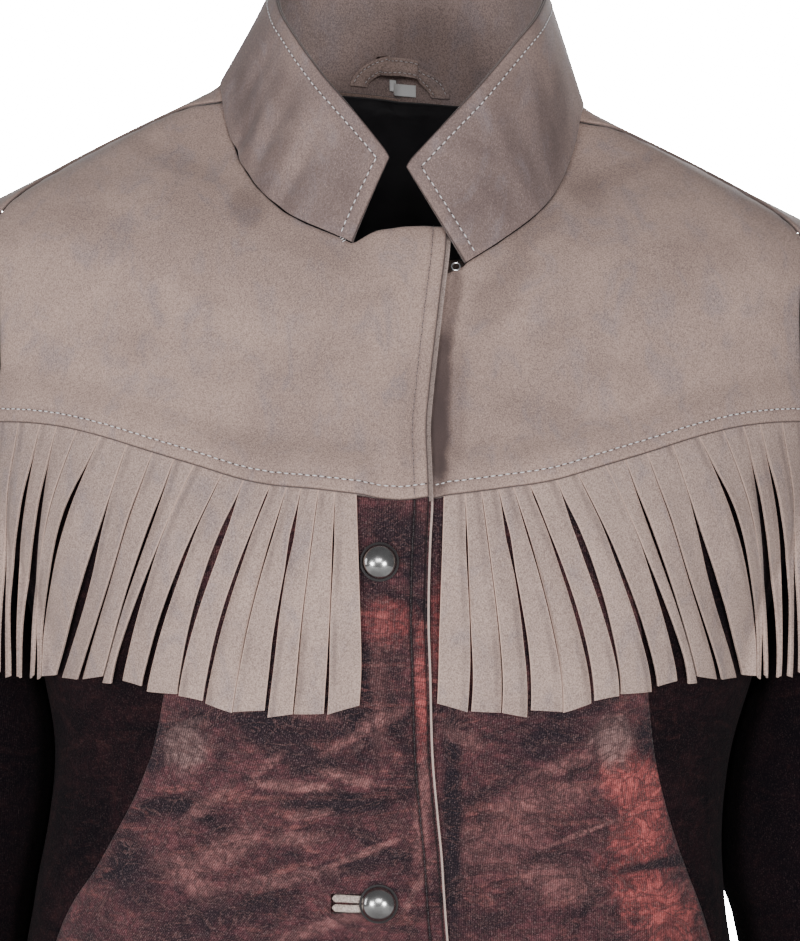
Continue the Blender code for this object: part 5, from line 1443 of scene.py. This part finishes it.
def on_front(mesh, foot, facing, height):
    """Place a mesh made flat in XY: X stays level across the jacket, and Z turns to facing."""
    z = Vector(facing)
    x = Vector((1, 0, 0))
    x = (x - x.dot(z) * z).normalized()
    turn = Matrix((x, z.cross(x), z)).transposed().to_4x4()
    mesh.transform(Matrix.Translation(Vector(stance((foot + facing * height)[None])[0])) @ turn)


def build_buttons():
    for number, height in enumerate(BUTTON_HEIGHTS, 1):
        foot, facing = button_frame(height)
        mesh = bmesh.new()
        under = 4.2 * MM
        ring = np.linspace(0, np.pi / 2, 16)
        profile = [(0, -4.2), (2.0, -4.2), (2.0, -0.3), (2.3, 0), (8.3, 0), (8.75, 0.2), (8.85, 0.45),
                   (8.7, 0.65), (8.3, 0.6), (8.1, 0.65)]
        profile += [(7.9 * np.cos(a), 0.8 + 5.3 * np.sin(a)) for a in ring[:-1]] + [(0, 6.1)]
        verts = [mesh.verts.new((r * MM, 0, under + h * MM)) for r, h in profile]
        edges = [mesh.edges.new(pair) for pair in zip(verts, verts[1:])]
        bmesh.ops.spin(mesh, geom=verts + edges, cent=(0, 0, 0), axis=(0, 0, 1), angle=2 * np.pi, steps=56,
                       use_merge=True, use_duplicate=False)
        bmesh.ops.remove_doubles(mesh, verts=mesh.verts, dist=0.01 * MM)
        for face in mesh.faces:
            # Faces below the dome take the black rim finish, painted shade round the dome's foot.
            face.material_index = 0 if face.calc_center_median().z > under + 1.5 * MM else 1
        on_front(mesh, foot, facing, 1.9 * MM)
        made = finished(f"domed_button_{number}", mesh, (CHROME, RIM_SHADE_BLACK))
        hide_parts(f"button_{number}")


def open_buttonholes(piece):
    """Cut a window for each button's shank and lips. The first one is hidden under its button."""
    for number, height in enumerate(BUTTON_HEIGHTS, 1):
        foot, facing = button_frame(height)
        back = 21.6 * MM if number > 1 else 7 * MM
        ahead = 2.54 * MM
        mesh = bmesh.new()
        bmesh.ops.create_cube(mesh, size=1)
        tall = BUTTONHOLE[1] if number > 1 else 2 * ahead
        bmesh.ops.scale(mesh, vec=(back + ahead, tall, 9 * MM), verts=mesh.verts)
        bmesh.ops.translate(mesh, vec=((ahead - back) / 2, 0, 0), verts=mesh.verts)
        on_front(mesh, foot, facing, LAP)
        data = bpy.data.meshes.new("window")
        mesh.to_mesh(data)
        mesh.free()
        cutter = bpy.data.objects.new("window", data)
        bpy.context.scene.collection.objects.link(cutter)
        cut = piece.modifiers.new("window", "BOOLEAN")
        cut.operation, cut.solver, cut.object = "DIFFERENCE", "EXACT", cutter
        bpy.context.view_layer.update()
        opened = bpy.data.meshes.new_from_object(piece.evaluated_get(bpy.context.evaluated_depsgraph_get()))
        piece.modifiers.clear()
        piece.data = opened
        bpy.data.objects.remove(cutter, do_unlink=True)
        opened.name = piece.name


def build_lips():
    """Two folded suede strips fill each buttonhole's window, with a slit between them."""
    finish = suede("lip_suede", (0.74, 0.62, 0.55), (0.50, 0.40, 0.35))
    for number, height in list(enumerate(BUTTON_HEIGHTS, 1))[1:]:
        foot, facing = button_frame(height)
        for name, way in (("upper", 1), ("lower", -1)):
            length, wide, thick = 18.6 * MM, 3.5 * MM, 2.1 * MM
            turn = np.linspace(0, 2 * np.pi, 25)
            share = np.linspace(0, 1, 26)
            swell = np.where(share < 0.08, np.sqrt(np.clip(share / 0.08, 0.02, 1)), 1)
            rolled = np.sign(np.cos(turn)) * np.abs(np.cos(turn)) ** 0.7
            x = -21.1 * MM + length * share[:, None] + 0 * turn
            wander = 0.25 * MM * np.sin(share * 5 + way)[:, None]
            y = way * (wide / 2 + 0.35 * MM + wander + wide / 2 * rolled * swell[:, None])
            z = thick / 2 * np.sin(turn) * swell[:, None] + 0.12 * MM * np.sin(share * 17)[:, None]
            mesh = bmesh.new()
            grid = np.stack([x, y, z], axis=2)
            tube(mesh, grid)
            on_front(mesh, foot, facing, LAP + 0.8 * MM)
            made = finished(f"{name}_lip_{number}", mesh, (finish, SUEDE_EDGE))
            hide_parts(f"buttonhole_{number}_{name}_lip")


def tube(mesh, grid):
    """A closed tube from rings of points."""
    rows, columns = grid.shape[:2]
    made = bmesh.ops.create_grid(mesh, x_segments=columns - 1, y_segments=rows - 1, size=0.5)["verts"]
    for vert in made:
        vert.co = grid[round((vert.co.y + 0.5) * (rows - 1)), round((vert.co.x + 0.5) * (columns - 1))]
    bmesh.ops.remove_doubles(mesh, verts=mesh.verts, dist=0.01 * MM)
    bmesh.ops.holes_fill(mesh, edges=[e for e in mesh.edges if len(e.link_faces) == 1])


def build_bartacks():
    """Thick little rows of stitches where the collar's ends and the front edge take strain."""
    tacks = Stitching("bartacks", LIGHT_THREAD)
    places = ((-25.5, -67.0, 5.6, (-0.5, 0.9), 4), (7.4, -162, 5.6, (0.1, 0.8), 3))
    for across, up, height, step, count in places:
        for k in range(count):
            at = np.array([[across + step[0] * k, up + step[1] * k]]) * MM
            foot = seen(at)
            out = normals(foot)[0]
            spot = stance(foot + out * (height + 0.12) * MM)[0]
            tacks.ball(spot, (0.85, 0, 0.5), out, (1.1 * MM, 0.28 * MM, 0.22 * MM), 0)
    tacks.done()


# ---------------------------------------------------------------- floor, light and camera


def area_light(name, place, aim, size, power, colour=(1, 1, 1)):
    light = bpy.data.lights.new(name, "AREA")
    light.shape, light.size, light.size_y = "RECTANGLE", size[0], size[1]
    light.energy, light.color = power, colour
    made = bpy.data.objects.new(name, light)
    made.location = place
    made.rotation_euler = (Vector(aim) - Vector(place)).to_track_quat("-Z", "Y").to_euler()
    bpy.context.scene.collection.objects.link(made)


def build_studio():
    mesh = bmesh.new()
    bmesh.ops.create_grid(mesh, x_segments=8, y_segments=8, size=1.3)
    bmesh.ops.translate(mesh, vec=(0, 0, -0.68), verts=mesh.verts)
    data = bpy.data.meshes.new("studio_floor")
    mesh.to_mesh(data)
    mesh.free()
    floor = bpy.data.objects.new("studio_floor", data)
    bpy.context.scene.collection.objects.link(floor)
    f = Finish("pale_floor", 0.9)
    cloudy = f.between(f.noise(3.0), 0.3, 0.7)
    data.materials.append(f.done(f.blend(cloudy, (0.90, 0.90, 0.90), (0.93, 0.93, 0.93))))

    world = bpy.data.worlds.new("studio")
    bpy.context.scene.world = world
    world.use_nodes = True
    tree = world.node_tree
    back = tree.nodes["Background"]
    back.inputs["Color"].default_value = (0.9, 0.9, 0.92, 1)
    back.inputs["Strength"].default_value = 0.22
    white = tree.nodes.new("ShaderNodeBackground")
    white.inputs["Color"].default_value = (1, 1, 1, 1)
    white.inputs["Strength"].default_value = 40.0
    ray = tree.nodes.new("ShaderNodeLightPath")
    mix = tree.nodes.new("ShaderNodeMixShader")
    tree.links.new(ray.outputs["Is Camera Ray"], mix.inputs[0])
    tree.links.new(back.outputs[0], mix.inputs[1])
    tree.links.new(white.outputs[0], mix.inputs[2])
    tree.links.new(mix.outputs[0], tree.nodes["World Output"].inputs[0])

    area_light("left_softbox", (-1.15, -1.95, -0.42), (0, 0, -0.2), (0.5, 0.42), 23)
    area_light("right_softbox", (1.0, -2.2, -0.42), (0, 0, -0.2), (0.5, 0.42), 23)
    area_light("front_fill", (0, -2.9, 0.3), (0, 0, -0.2), (1.1, 0.5), 22)
    area_light("left_rake", (-1.9, -0.55, -0.1), (0, 0, -0.2), (0.4, 0.8), 5)
    area_light("back_softbox", (0.6, 2.0, 0.4), (0, 0, -0.25), (1.4, 1.2), 55)

    lens = bpy.data.cameras.new("camera")
    lens.sensor_fit, lens.sensor_width, lens.lens = "HORIZONTAL", 36, 240
    camera = bpy.data.objects.new("camera", lens)
    camera.location = (0, -2.52, -0.1667)
    camera.rotation_euler = (np.pi / 2, 0, 0)
    bpy.context.scene.collection.objects.link(camera)
    bpy.context.scene.camera = camera


build_studio()
SLEEVE_DYE = dyed("sleeve_dye", depth=0.95)
THREADS = {
    "light": Stitching("light_topstitching", LIGHT_THREAD),
    "dark": Stitching("taupe_edge_stitching", TAUPE_THREAD),
    "placket": Stitching("dark_topstitching", DARK_THREAD),
}
LINES = {side: seam_lines(side) for side in (1, -1)}
for side in (1, -1):
    build_half(side, LINES[side], THREADS)
    build_fringe(side)
    build_sleeve(side, LINES, THREADS)
build_back(LINES, THREADS)
build_facing()
build_lining(LINES)
build_collar(THREADS)
build_lips()
build_buttons()
build_bartacks()
for kind in THREADS.values():
    kind.done()

worn = metal("worn_wire", (0.75, 0.75, 0.77), (0.4, 0.4, 0.42), 0.18)
eye = bpy.data.objects["neck_eye"]
for index in range(len(eye.material_slots)):
    eye.material_slots[index].material = worn
